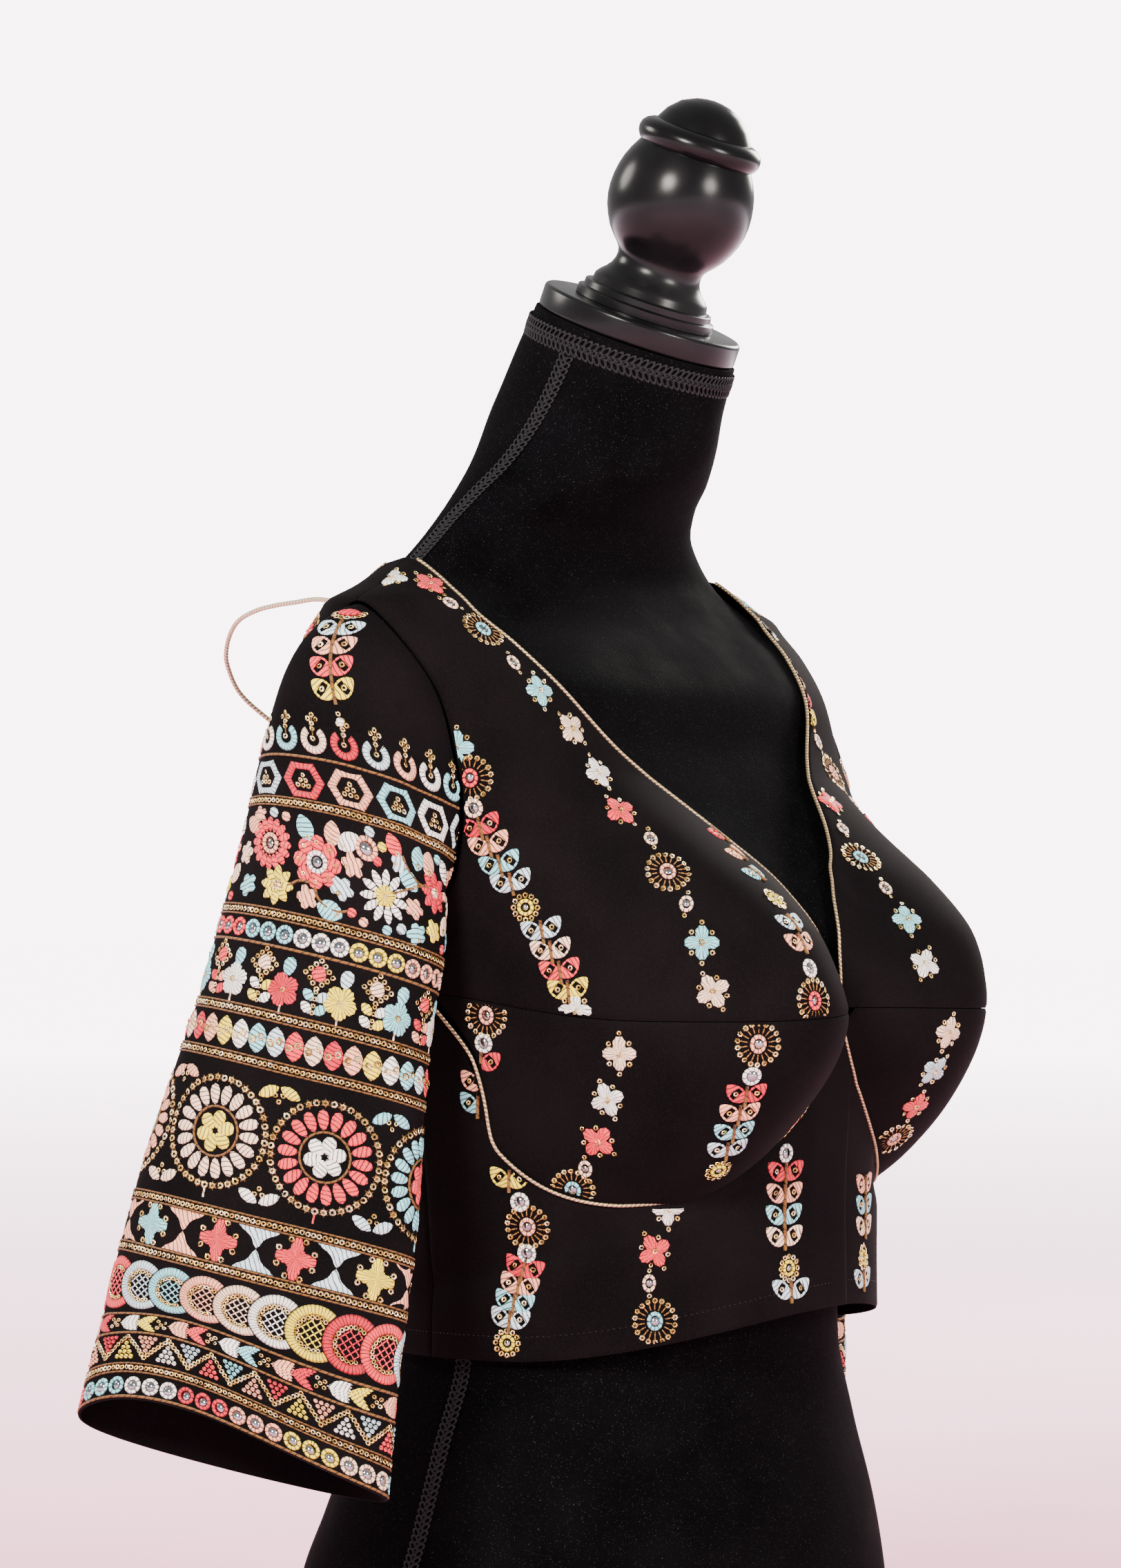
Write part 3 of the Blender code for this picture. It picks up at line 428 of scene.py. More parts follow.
def tie(name, node, route):
    made = tube(name, route, DORI_RADIUS, DORI_FINISH)
    dress(made, node)


for side in (-1, 1):
    start_angle = neck_angle(DORI_START, back=True) - 1.5
    start = body_point(side, start_angle, DORI_START, out=DORI_RADIUS + 2 * GAP)
    route = [start, *((side * x * MM, y * MM, z * MM) for x, y, z in DORI_ROUTE)]
    tie(f"dori_cord_{label(side)}", f"dori_{label(side)}", smooth_route(route, 150))
    route = []
    for share in (0, 0.12, 0.3, 0.5, 0.7, 0.85, 1):
        z = KNOT_HEIGHT - KNOT_RADIUS - GAP - TAIL_LENGTHS[side] * share
        x = 2.2 * MM + 7 * MM * share + 2 * MM * math.sin(5 * share)
        y = float(body_point(side, 180 - math.degrees(x / (110 * MM)), z)[1]) + DORI_RADIUS + 0.9 * MM
        route.append((side * x, y + (KNOT_BACK - y) * (1 - ease(share / 0.4)), z))
    tie(f"dori_end_{label(side)}", f"dori_tail_{label(side)}", smooth_route(route, 50))


# ---- the padded form
# A limbless torso and neck, padded and covered in black velvet, closed by a flat base. The pile catches the light
# along its edges, and tiny bright specks are painted into its colour as glints.
# The form's sections from its base up: the blouse's columns, and two more.
TILT, CUP_RISE = 6, 7
FORM_ROWS = (
    (0, 184, 4, 137, 137, 2.1, 0, 0), (55, 187, 4, 140, 140, 2.1, 0, 0), (100, 182, 4, 137, 137, 2.1, 0, 0),
    (137, 171, 0, 128, 129, 2.1, 0, 0), (180, 156, -3, 116, 116, 2.1, 0, 0), (225, 140, -6, 108, 107, 2.1, 0, 0),
    (255, 140, -7, 106, 106, 2.1, 0, 0), (290, 144, -7, 110, 106, 2.1, 0, 0), (330, 151, -7, 117, 108, 2.2, 0, 40),
    (365, 156, -6, 126, 110, 2.3, 0, 45), (397, 160, -5, 133, 112, 2.4, 0, 48),
    (433, 165, -2, 126, 114, 2.6, 0, 48), (448, 167, -1, 119, 114, 2.6, 0, 47), (465, 169, 1, 108, 114, 2.8, 0, 46),
    (485, 172, 4, 95, 112, 3, 0, 44), (510, 176, 7, 83, 108, 3.2, 0, 40), (535, 181, 11, 74, 103, 3.2, 0, 0),
    (560, 186, 14, 70, 92, 3.2, 0, 0), (583, 190, 18, 56, 79, 2.9, 0, 0), (599, 190, 21, 41, 61, 2.4, 0, 0),
    (610, 168, 23, 35, 51, 2.2, 0, 0), (624, 144, 25, 31, 43, 2, 0, 0), (645, 115, 24, 36, 40, 2, 0, 0),
    (662, 96, 19, 47, 44, 2, 3, 0), (680, 80, 9, 55, 52, 2, 8, 0), (703, 66, -1, 58, 58, 2, 14, 0),
    (727, 58, -10, 57, 57, 2, 19, 0), (750, 55, -20, 55, 55, 2, 22, 0),
)
FORM_TOP = 750 * MM
VELVET_AROUND = 128
VELVET_STEP = 4 * MM


def form_point(angle, z):
    """Point of the form at an angle (radians, all round) and a height on its middle line."""
    angle, z = np.broadcast_arrays(np.asarray(angle, float), np.asarray(z, float))
    x, y = section(angle, z, FORM_ROWS, along(z, FORM_ROWS, CUP_RISE) * MM)
    tilt = np.radians(along(z, FORM_ROWS, TILT))
    middle = along(z, FORM_ROWS, MIDDLE_Y) * MM
    return np.stack([x, middle + (y - middle) * np.cos(tilt), z + (y - middle) * np.sin(tilt)], -1)


def velvet():
    sheen = {"sheen_weight": 0.006, "sheen_roughness": 0.32, "sheen_tint": (0.80, 0.80, 0.90, 1)}
    made = Finish("black_velvet_pile", roughness=0.9, specular_ior_level=0.015, **sheen)
    place = made.place()
    nap = made.noise(place, 26, 4, 0.6).kept(0.35, 0.7)
    # Painted glints: tiny specks of the pile made pale, as where it would catch the light.
    painted_pile_glints = made.noise(place, 1500, 1).kept(0.67, 0.78)
    deep = made.blend(nap, (0.0004, 0.0004, 0.0005), (0.0015, 0.0015, 0.0018))
    colour = made.blend(painted_pile_glints * 0.2, deep, (0.09, 0.09, 0.105))
    return made.finished(colour, 0.78 + nap * 0.2, made.noise(place, 1100, 2) + nap * 0.6, 0.25 * MM, 0.6)


levels = np.linspace(0, FORM_TOP, int(FORM_TOP / VELVET_STEP) + 1)
spins = np.arange(VELVET_AROUND) * 2 * math.pi / VELVET_AROUND
skin = form_point(spins[None, :], levels[:, None]).reshape(-1, 3)
faces = ring_quads(len(levels), VELVET_AROUND)
faces += [range(VELVET_AROUND)[::-1], range(len(skin) - VELVET_AROUND, len(skin))]
velvet_form = add_mesh("velvet_form", skin, faces, velvet())
velvet_form.data.set_sharp_from_angle(angle=math.radians(50))
dress(velvet_form, "form_body")

# ---- gimp braid of the form
# Black looped gimp, glued over the form's side seams and round the neck under the cap: two mirrored rows of
# looped cord on either side of a herringbone middle.
GIMP_PITCH = 3.4 * MM
GIMP_CORD = 0.42 * MM
GIMP_LOOP_LONG = 2.7 * MM
GIMP_LOOP_WIDE = 1.25 * MM
GIMP_LEAN = math.radians(38)
RIB_LONG = 1.45 * MM
RIB_WIDE = 0.55 * MM
RIB_CORD = 0.3 * MM
RIB_LEAN = math.radians(52)
NECK_GIMP = 741 * MM


def gimp_finish():
    sheen = {"sheen_weight": 0.015, "sheen_tint": (0.7, 0.7, 0.75, 1)}
    made = Finish("black_gimp", roughness=0.5, specular_ior_level=0.07, **sheen)
    strand = made.noise(made.place(), 1900, 2)
    colour = made.blend(strand, (0.002, 0.002, 0.0023), (0.012, 0.012, 0.013))
    return made.finished(colour, 0.42 + strand * 0.2, strand, 0.12 * MM, 0.7)


GIMP = gimp_finish()


def loop_points(long, wide, cord, steps=12):
    """A closed oval loop of cord lying flat, as points and quads."""
    sizes = {"major_segments": steps, "minor_segments": 4, "major_radius": 1, "minor_radius": cord / wide}
    bpy.ops.mesh.primitive_torus_add(**sizes)
    made = bpy.context.active_object
    points = np.array([tuple(vert.co) for vert in made.data.vertices])
    quads = np.array([tuple(face.vertices) for face in made.data.polygons])
    bpy.data.objects.remove(made)
    return points * (long, wide, wide), quads


def braid(name, route, out, wide=1.0):
    """Gimp along a route: points, the outward direction at each, and how wide it is against its full width."""
    loop = loop_points(GIMP_LOOP_LONG * wide, GIMP_LOOP_WIDE, GIMP_CORD)
    rib = loop_points(RIB_LONG * wide, RIB_WIDE, RIB_CORD, steps=8)
    kinds = ((loop, 3.0 * MM * wide, GIMP_LEAN, 0.45 * MM), (rib, 0.75 * MM * wide, RIB_LEAN, 0.75 * MM))
    run = unit(np.gradient(route, axis=0))
    out = unit(out - (out * run).sum(1, keepdims=True) * run)
    across = np.cross(out, run)
    points, faces, count = [], [], 0
    for i in range(len(route)):
        for hand in (-1, 1):
            for (shape, quads), beside, lean, lift in kinds:
                u = shape[:, 0] * math.cos(lean) - shape[:, 1] * math.sin(lean) + beside
                v = shape[:, 0] * math.sin(lean) + shape[:, 1] * math.cos(lean)
                place = route[i] + hand * u[:, None] * across[i] + v[:, None] * run[i]
                points.append(place + (shape[:, 2] + lift)[:, None] * out[i])
                faces.append((quads if hand > 0 else quads[:, ::-1]) + count)
                count += len(shape)
    dress(add_mesh(name, np.vstack(points), np.vstack(faces), GIMP))


def even(route, pitch):
    """Points a pitch apart along a route."""
    run = run_along(route)
    return resample(np.linspace(0, run[-1], max(2, int(round(run[-1] / pitch)) + 1)), run, route)


for side in (-1, 1):
    for part, low, high in (("lower", 2 * MM, 262 * MM), ("shoulder", 613 * MM, 734 * MM)):
        seam = even(form_point(side * math.pi / 2, np.linspace(low, high, 160)), GIMP_PITCH)
        away = np.cross(np.gradient(seam, axis=0), (0, 1, 0))
        away = away * np.sign((away * (side, 0, 0.4)).sum(1, keepdims=True))
        braid(f"gimp_{part}_{label(side)}", seam, away, 0.8)
neck_line = even(form_point(np.linspace(0, 2 * math.pi, 400), NECK_GIMP), GIMP_PITCH)[:-1]
braid("gimp_neck", neck_line, neck_line - (0, -17 * MM, NECK_GIMP))

# ---- cap and finial
# A turned wooden disc with a softened edge closes the neck and carries a turned ball finial. Both are painted
# black and rubbed to a satin gloss.
NECK_TILT = math.radians(22)
NECK_TOP = Vector((0, -20 * MM, FORM_TOP))
CAP_RADIUS = 54 * MM
CAP_THICKNESS = 13 * MM
CAP_EDGE = 2.2 * MM
# Distance above the cap, radius.
FINIAL_ROWS = (
    (116, 0), (115.6, 4.5), (114.6, 9.2), (111.2, 16.5), (105.5, 22.3), (100.8, 25), (99.4, 25.7), (98.9, 28),
    (97.6, 30.6), (95.4, 32.6), (92.6, 33.4), (89.8, 33), (87.4, 31.7), (86.2, 30.4), (85.4, 30.9), (80, 33.8),
    (75, 35.9), (70, 37.2), (64.5, 38.1), (59, 38.3), (53.5, 37.8), (48, 36.4), (43, 34.3), (38, 31.6), (34, 28.4),
    (31, 25.5), (28.5, 23.6), (26, 23), (23, 23.3), (20, 24.5), (17.2, 26.6), (15, 29), (12.5, 31), (9.4, 31.5),
    (8.8, 32), (8.6, 34.2), (8.2, 34.8), (5.2, 35), (4.8, 35.6), (4.6, 37.1), (4.2, 37.5), (0, 37.5), (0, 0),
)


def painted_wood():
    made = Finish("satin_black_wood", roughness=0.25, specular_ior_level=0.11)
    place = made.place()
    grain = made.noise(place, 90, 5, 0.65)
    rubbed = made.noise(place, 14, 3).kept(0.4, 0.75)
    colour = made.blend(rubbed, (0.0015, 0.0015, 0.0017), (0.005, 0.005, 0.0055))
    height = grain + made.noise(place, 600, 2) * 0.25
    return made.finished(colour, 0.19 + grain * 0.09 + rubbed * 0.10, height, 0.05 * MM, 0.25)


WOOD = painted_wood()


def on_neck(item, above, sharp, node):
    """Stand a turned piece on the neck's tilted top, with its place in its mesh."""
    item.data.shade_smooth()
    item.data.set_sharp_from_angle(angle=math.radians(sharp))
    up = Vector((0, -math.sin(NECK_TILT), math.cos(NECK_TILT)))
    item.data.transform(Matrix.Translation(NECK_TOP + up * above) @ Matrix.Rotation(NECK_TILT, 4, "X"))
    item.data.materials.append(WOOD)
    dress(item, node)


def select_none():
    bpy.ops.object.select_all(action="DESELECT")


def open_mesh(item):
    """Open an object in edit mode, selected all over."""
    select_none()
    item.select_set(True)
    bpy.context.view_layer.objects.active = item
    bpy.ops.object.mode_set(mode="EDIT")
    bpy.ops.mesh.select_all(action="SELECT")


def close_mesh(apart):
    """Merge the open mesh's doubles, turn its faces outwards and leave edit mode."""
    bpy.ops.mesh.select_all(action="SELECT")
    bpy.ops.mesh.remove_doubles(threshold=apart)
    bpy.ops.mesh.normals_make_consistent(inside=False)
    bpy.ops.object.mode_set(mode="OBJECT")


select_none()
bpy.ops.mesh.primitive_cylinder_add(vertices=128, radius=CAP_RADIUS, depth=CAP_THICKNESS)
cap = bpy.context.active_object
cap.name = cap.data.name = "neck_cap_turned"
soften = cap.modifiers.new("edge", "BEVEL")
soften.width = CAP_EDGE
soften.segments = 4
soften.limit_method = "ANGLE"
bpy.ops.object.modifier_apply(modifier=soften.name)
on_neck(cap, GAP + CAP_THICKNESS / 2, 40, "neck_cap")

outline = bpy.data.meshes.new("finial_turned")
profile = [(radius * MM, 0, above * MM) for above, radius in FINIAL_ROWS]
outline.from_pydata(profile, [(i, i + 1) for i in range(len(profile) - 1)], [])
finial = new_object("finial_turned", outline)
open_mesh(finial)
bpy.ops.mesh.spin(steps=96, angle=2 * math.pi, center=(0, 0, 0), axis=(0, 0, 1))
close_mesh(0.00001)
on_neck(finial, 2 * GAP + CAP_THICKNESS, 38, "finial")

# ---- panels of the blouse
# Black crepe, cut as two upper cups, two lower cups, two midriffs and one back, each turned in at its seams. The
# panels lie over the bust and the waist with soft drags where the cups pull on them.
SEAM_INSET = 0.2 * MM
SIDE_SEAM = 100.0
SIDE_INSET = 0.1
HEM_SIDE = 224 * MM
HEM_FRONT = 246 * MM
V_POINT = 399 * MM
SHOULDER_NECK = 629 * MM
SHOULDER_TIP = 604 * MM
UNDERARM = 451 * MM
BACK_NECK = 505 * MM
ARMHOLE_FRONT = 24.0
ARMHOLE_BACK = 19.0
ARMHOLE_HIGH = 0.35
ARMHOLE_EASE = 1.012
FRONT_LAP = 12 * MM
LAP_TOP = 360 * MM
LAP_RISE = 1.9 * MM
LAP_STEPS = np.array([0, 0.02, 0.05, 0.2, 0.4, 0.6, 0.8])
UNDER_BUST_SIDE = 83.5
UNDERARM_STEP_FRONT = 2 / 13
UNDERARM_STEP_BACK = 0.48
BACK_NECK_SHARE = 0.56
SEAM_ROLL = 0.55 * MM  # how far a panel's edge turns in
SEAM_ROLL_WIDTH = 1.8 * MM
SHOULDER_FRONT, SHOULDER_BACK = 89.7, 90.3
# Fine creases over the folds, in the same columns.
CREASE_ROWS = (
    (-1, 59, 487, 46, 499, 0.9, 3.5), (-1, 49, 497, 38, 487, 0.7, 3.5), (-1, 56, 492, 42, 503, -0.8, 5),
    (-1, 54, 408, 44, 411, 0.6, 3), (-1, 26, 306, 50, 290, 1, 4), (-1, 50, 290, 104, 258, 1.1, 4.5),
    (-1, 30, 316, 62, 279, -0.9, 6), (-1, 24, 322, 31, 298, 0.8, 3.5), (-1, 33, 309, 40, 284, 0.7, 4),
    (-1, 70, 298, 96, 274, 0.6, 5), (-1, 84, 436, 72, 470, 0.7, 5), (-1, 88, 424, 76, 450, -0.6, 6),
    (-1, 12, 262, 36, 254, 0.6, 5), (-1, 31, 366, 24, 362, 0.5, 3), (1, 7, 463, 5, 428, 1.1, 4),
    (1, 10, 466, 9, 424, -0.7, 5), (1, 5, 360, 14, 358, 0.5, 3), (1, 28, 305, 56, 287, 0.9, 4.5),
    (1, 58, 284, 100, 262, 0.9, 5), (1, 22, 320, 30, 296, 0.7, 4), (1, 84, 438, 70, 468, 0.7, 5),
    (1, 56, 486, 44, 500, 0.8, 4), (-1, 168, 268, 110, 246, 0.8, 5), (1, 166, 262, 112, 242, 0.8, 5),
    (-1, 160, 452, 118, 478, 0.7, 5), (1, 162, 446, 124, 470, 0.7, 5), (-1, 172, 340, 150, 322, 0.6, 5),
    (1, 170, 352, 146, 336, 0.6, 5),
)
ALL_FOLDS = FOLD_ROWS + CREASE_ROWS


def cloth_point(side, angle, z, out=0.0):
    return body_point(side, angle, z, out, ALL_FOLDS)


def cloth_normals(side, angle, z):
    """Outward unit normals of the blouse's body."""
    step, rise = 0.4, 0.8 * MM
    du = cloth_point(side, angle + step, z) - cloth_point(side, angle - step, z)
    dv = cloth_point(side, angle, z + rise) - cloth_point(side, angle, z - rise)
    return unit(np.cross(du, dv) * np.asarray(side, float)[..., None])


def hem_height(angle):
    return HEM_SIDE + (HEM_FRONT - HEM_SIDE) * ease((80 - np.abs(angle)) / 80)


def bust_height(angle):
    """Height of the level bust seam."""
    return 396 * MM + 3 * MM * ease((45 - np.abs(angle)) / 45) + 12 * MM * ease((np.abs(angle) - 55) / 35)


def under_bust(share, grow=1.0):
    """Angle and height along the curved under-bust seam, from the centre front (0) to the side seam (1)."""
    share = np.asarray(share, float)
    swing = np.clip(share / 0.9, 0, 1) * math.pi
    power = np.where(swing < math.pi / 2, CUP_INNER_POWER, CUP_OUTER_POWER)
    cosine, sine = np.cos(swing), np.sin(swing)
    size = (np.abs(cosine) ** power + np.abs(sine) ** power) ** (1 / power)
    z = CUP_MIDDLE_Z - CUP_DOWN * grow * sine / size
    half_width = along(z, BODY_ROWS, HALF_WIDTH) * MM
    out = np.where(cosine > 0, CUP_INNER, half_width - CUP_MIDDLE_X)
    angle = angle_at(np.clip(CUP_MIDDLE_X - grow * cosine / size * out, 0, half_width), z)
    angle = angle - (90 - UNDER_BUST_SIDE) * ease((angle - 78) / 12)
    tail = ease((share - 0.82) / 0.18)
    return angle + tail * (SIDE_SEAM - UNDER_BUST_SIDE), z + 6 * MM * tail


def armhole(turn, grow=1.0):
    """Angle and height on the armhole: turn 0 at the shoulder, pi at the underarm, the front between them."""
    middle = (SHOULDER_TIP + UNDERARM) / 2
    forward = np.sin(turn) > 0
    reach = np.where(forward, ARMHOLE_FRONT * (1 + ARMHOLE_HIGH * np.cos(turn)), ARMHOLE_BACK)
    angle = 90 - reach * grow * np.sin(turn)
    return angle, middle + (SHOULDER_TIP - middle) * grow * np.cos(turn)


def side_seam(z):
    """Angle of the side seam, which leans forward to the lowest point of the armhole."""
    return 90 + (SIDE_SEAM - 90) * ease((UNDERARM - z) / (43 * MM))


def side_edge(v, corner, back=False):
    """Angle and height up a panel's outer edge: the side seam to the corner share, then the armhole."""
    turn = math.pi * (1 - np.clip((v - corner) / (1 - corner), 0, 1))
    hole, hole_z = armhole(-turn if back else turn, ARMHOLE_EASE)
    low = HEM_SIDE if back else bust_height(90) + SEAM_INSET
    top = armhole(math.pi, ARMHOLE_EASE)[1]
    seam_z = low + (top - low) * np.clip(v / corner, 0, 1)
    seam = side_seam(seam_z) + SIDE_INSET * (1 if back else -1)
    return np.where(v <= corner, seam, hole), np.where(v <= corner, seam_z, hole_z)


def front_neck(v):
    """Angle and height up the front neckline, from the point of the V to the shoulder."""
    low = V_POINT + SEAM_INSET
    z = low + (SHOULDER_NECK - low) * v**0.92
    return np.where(v < 1, neck_angle(z) + 0.5, SHOULDER_FRONT), z


def back_middle(v):
    """Angle and height up the back's middle, and from its share of the way on round the back neckline."""
    rise = np.clip((v - BACK_NECK_SHARE) / (1 - BACK_NECK_SHARE), 0, 1)
    neck_z = BACK_NECK + (SHOULDER_NECK - BACK_NECK) * rise**1.5
    angle = np.where(v < 1, neck_angle(neck_z, back=True) - 0.5, SHOULDER_BACK)
    low_z = HEM_SIDE + (BACK_NECK - HEM_SIDE) * v / BACK_NECK_SHARE
    return np.where(v <= BACK_NECK_SHARE, 180, angle), np.where(v <= BACK_NECK_SHARE, low_z, neck_z)


def between(one, other, share):
    """Angle and height between two edges."""
    return [a * (1 - share) + b * share for a, b in zip(one, other)]


def fine(count, edge=0.006, also=()):
    """Shares from 0 to 1, closer together at both ends so that an edge can turn in."""
    steps = [*np.linspace(4 * edge, 1 - 4 * edge, count), 0, edge, 2 * edge, 1 - 2 * edge, 1 - edge, 1, *also]
    return np.unique(np.round(steps, 6))


def crepe():
    """Black crepe: a pebbled crossing of hard-twisted yarns that scatters light softly."""
    sheen = {"sheen_weight": 0.008, "sheen_roughness": 0.4, "sheen_tint": (0.66, 0.54, 0.60, 1)}
    made = Finish("black_crepe_cloth", roughness=0.85, specular_ior_level=0.02, **sheen)
    place = made.place()
    pebble = made.noise(place, 1700, 3, 0.6)
    weave = made.node("ShaderNodeTexVoronoi", sockets={"Vector": place, "Scale": 1300})
    cloudy = made.noise(place, 18, 4).kept(0.3, 0.7)
    deep = made.blend(cloudy, (0.0012, 0.0010, 0.0011), (0.0030, 0.0022, 0.0025))
    colour = made.blend(pebble.kept(0.5, 0.8) * 0.3, deep, (0.014, 0.011, 0.012))
    return made.finished(colour, 0.7 + pebble * 0.2, pebble + weave * 0.5, 0.16 * MM, 0.55)


CREPE = crepe()


def roll_edges(outer, out, seams=(True, True, True, True)):
    """Turn a panel's outer skin in along the edges that are seams: low, high, first and last."""
    down = np.cumsum(np.linalg.norm(np.diff(outer, axis=0, prepend=outer[:1]), axis=-1), axis=0)
    over = np.cumsum(np.linalg.norm(np.diff(outer, axis=1, prepend=outer[:, :1]), axis=-1), axis=1)
    away = [down, down[-1:] - down, over, over[:, -1:] - over]
    near = np.min([edge for edge, seam in zip(away, seams) if seam], axis=0)
    return outer - (SEAM_ROLL * (1 - ease(near / SEAM_ROLL_WIDTH)))[..., None] * out


def shell(name, grids, closed=False):
    """A crepe wall from grids of (outer points, inner points)."""
    points, faces, count = [], [], 0
    for outer, inner in grids:
        rows, cols = outer.shape[:2]
        a = count + np.arange(rows * cols).reshape(rows, cols)
        b = a + rows * cols
        points += [outer.reshape(-1, 3), inner.reshape(-1, 3)]
        count += 2 * rows * cols
        if closed:
            a, b = np.hstack([a, a[:, :1]]), np.hstack([b, b[:, :1]])
        walls = [
            (a[:-1, :-1], a[:-1, 1:], a[1:, 1:], a[1:, :-1]),
            (b[:-1, :-1], b[1:, :-1], b[1:, 1:], b[:-1, 1:]),
            (a[0, :-1], b[0, :-1], b[0, 1:], a[0, 1:]),
            (a[-1, 1:], b[-1, 1:], b[-1, :-1], a[-1, :-1]),
        ]
        if not closed:
            walls.append((a[1:, 0], b[1:, 0], b[:-1, 0], a[:-1, 0]))
            walls.append((a[:-1, -1], b[:-1, -1], b[1:, -1], a[1:, -1]))
        faces += [np.stack(wall, -1).reshape(-1, 4) for wall in walls]
    made = add_mesh(name, np.vstack(points), np.vstack(faces), CREPE)
    open_mesh(made)
    close_mesh(0.000002)
    made.data.set_sharp_from_angle(angle=math.radians(60))
    return made


def lap_lift(side, angle):
    """How far the right front is lifted to lie on the left one."""
    return np.where(np.less(side, 0), LAP_RISE * ease((15 - angle) / 8), 0.0)


def sewn_panel(name, node, grids):
    made = shell(name, grids)
    dress(made, node)


def front_panel(name, side, angle, z, out=0.0):
    """A panel of the front, turned in all round."""
    found = cloth_normals(side, angle, z)
    outer = cloth_point(side, angle, z, out)
    grid = (roll_edges(outer, found), outer - CLOTH * found)
    sewn_panel(f"{name}_cloth_{label(side)}", f"{name}_{label(side)}", [grid])


for side in (-1, 1):
    v, s = np.meshgrid(fine(64, also=(UNDERARM_STEP_FRONT,)), fine(52), indexing="ij")
    neck, edge = front_neck(v), side_edge(v, UNDERARM_STEP_FRONT)
    angle, z = between(neck, edge, s)
    bow = bust_height(angle) + SEAM_INSET - (neck[1][0, 0] * (1 - s) + edge[1][0, -1] * s)
    angle = np.where(v >= 1, SHOULDER_FRONT, angle)
    front_panel("upper_cup", side, angle, z + bow * (1 - v) ** 3)

    v, s = np.meshgrid(fine(34), 0.03 + 0.955 * fine(90), indexing="ij")
    low_angle, low_z = under_bust(s, 0.9995)
    high_angle = 90 * s + (SIDE_SEAM - 90 * 0.985 - SIDE_INSET) * ease((s - 0.75) / 0.235)
    high = high_angle, bust_height(high_angle) - SEAM_INSET
    angle, z = between((np.minimum(low_angle, SIDE_SEAM - SIDE_INSET), low_z), high, v)
    front_panel("lower_cup", side, angle, z)

    v, s = np.meshgrid(fine(40), 0.02 + 0.98 * fine(84), indexing="ij")
    low_angle = (SIDE_SEAM - SIDE_INSET) * s
    high_angle, high_z = under_bust(s, 1.0005)
    high = np.minimum(high_angle, SIDE_SEAM - SIDE_INSET), high_z
    angle, z = between((low_angle, hem_height(low_angle)), high, v)
    lap = float(-angle_at(FRONT_LAP, HEM_FRONT)), HEM_FRONT + (LAP_TOP - HEM_FRONT) * v[:, :1]
    lap_angle, lap_z = between(lap, (angle[:, :1], z[:, :1]), LAP_STEPS)
    angle, z = np.hstack([lap_angle, angle]), np.hstack([lap_z, z])
    front_panel("midriff", side, angle, z, lap_lift(side, angle))

grids = []
for side in (-1, 1):
    v, s = np.meshgrid(fine(96, also=(BACK_NECK_SHARE, UNDERARM_STEP_BACK)), fine(60), indexing="ij")
    angle, z = between(back_middle(v), side_edge(v, UNDERARM_STEP_BACK, back=True), s)
    angle = np.where(v >= 1, SHOULDER_BACK, angle)
    found = cloth_normals(side, angle, z)
    outer = cloth_point(side, angle, z)
    on_neckline = (v > BACK_NECK_SHARE)[..., None]
    rolled = np.where(on_neckline, roll_edges(outer, found), roll_edges(outer, found, (True, True, False, True)))
    grids.append((rolled, outer - CLOTH * found))
sewn_panel("back_cloth", "back", grids)

# ---- sleeves
# Two-thirds sleeves of the same crepe, eased into the armholes with small gathers at the cap and sewn closed on
# their inner side. The heavy bands keep them flat and wide at the cuff.
CUFF_HEIGHT = 186 * MM
FIRST_RING = 436 * MM
SLEEVE_X = 212 * MM
SLEEVE_Y = 22 * MM
SLEEVE_HANG = {-1: (0.319, 0.02, math.radians(22)), 1: (0.13, 0.17, math.radians(9))}  # swing, back, lift
SLEEVE_TURN = math.radians(14)
SLEEVE_DIP = math.radians(10.5)
SLEEVE_AROUND = 120
CAP_SHARE = 0.34
CAP_BACK = 0.8
CUFF_RISE = 15 * MM
CUFF_RISE_TURN = -22
CUFF_RISE_SPREAD = 52
# Height, and these columns.
HALF_WIDE, HALF_DEEP, BOW = 1, 2, 3
SLEEVE_ROWS = (
    (186, 82, 32, 0.5), (245, 77.5, 34, 2.6), (300, 73.5, 37, 2.8), (352, 66.5, 40, 3), (400, 60, 42, 2.8),
    (436, 58, 43, 2.2),
)
# Dents: share of the way down, angle round it, depth, spread down, spread round.
DENT_ROWS = (
    (0.1, 40, 2, 0.08, 13), (0.1, -38, 2.2, 0.09, 13), (0.16, 72, 3, 0.12, 14), (0.14, -72, 2.6, 0.12, 16),
    (0.88, -42, 4.5, 0.045, 30), (0.97, -18, 3.5, 0.05, 16), (0.6, 8, 1.8, 0.12, 20), (0.78, 60, 2.2, 0.1, 22),
    (0.62, 176, 3, 0.22, 26),
)
# Fine puckers of the cap and the cuff, in the same columns.
GATHER_ROWS = (
    (0.035, 12, 0.9, 0.035, 4), (0.03, -9, 0.8, 0.035, 4), (0.04, 26, 1, 0.045, 5), (0.036, -25, 1, 0.045, 5),
    (0.04, 55, 0.9, 0.05, 6), (0.045, -52, 1, 0.05, 6), (0.05, 100, 0.8, 0.05, 8), (0.05, -100, 0.8, 0.05, 8),
    (0.24, 30, 0.8, 0.1, 9), (0.22, -46, 1, 0.1, 10), (0.9, -20, 1.2, 0.02, 24), (0.865, -60, 1, 0.02, 18),
)


def sleeve_axes(side):
    """Directions of a sleeve ring: towards its front edge and towards its outer side."""
    lift = SLEEVE_HANG[side][2]
    level = math.cos(SLEEVE_DIP)
    across = -side * math.sin(SLEEVE_TURN) * level
    front = np.array([across, -math.cos(SLEEVE_TURN) * level, -math.sin(SLEEVE_DIP)])
    outward = np.array([side * math.cos(lift), 0, math.sin(lift)])
    return front, unit(outward - (outward @ front) * front)


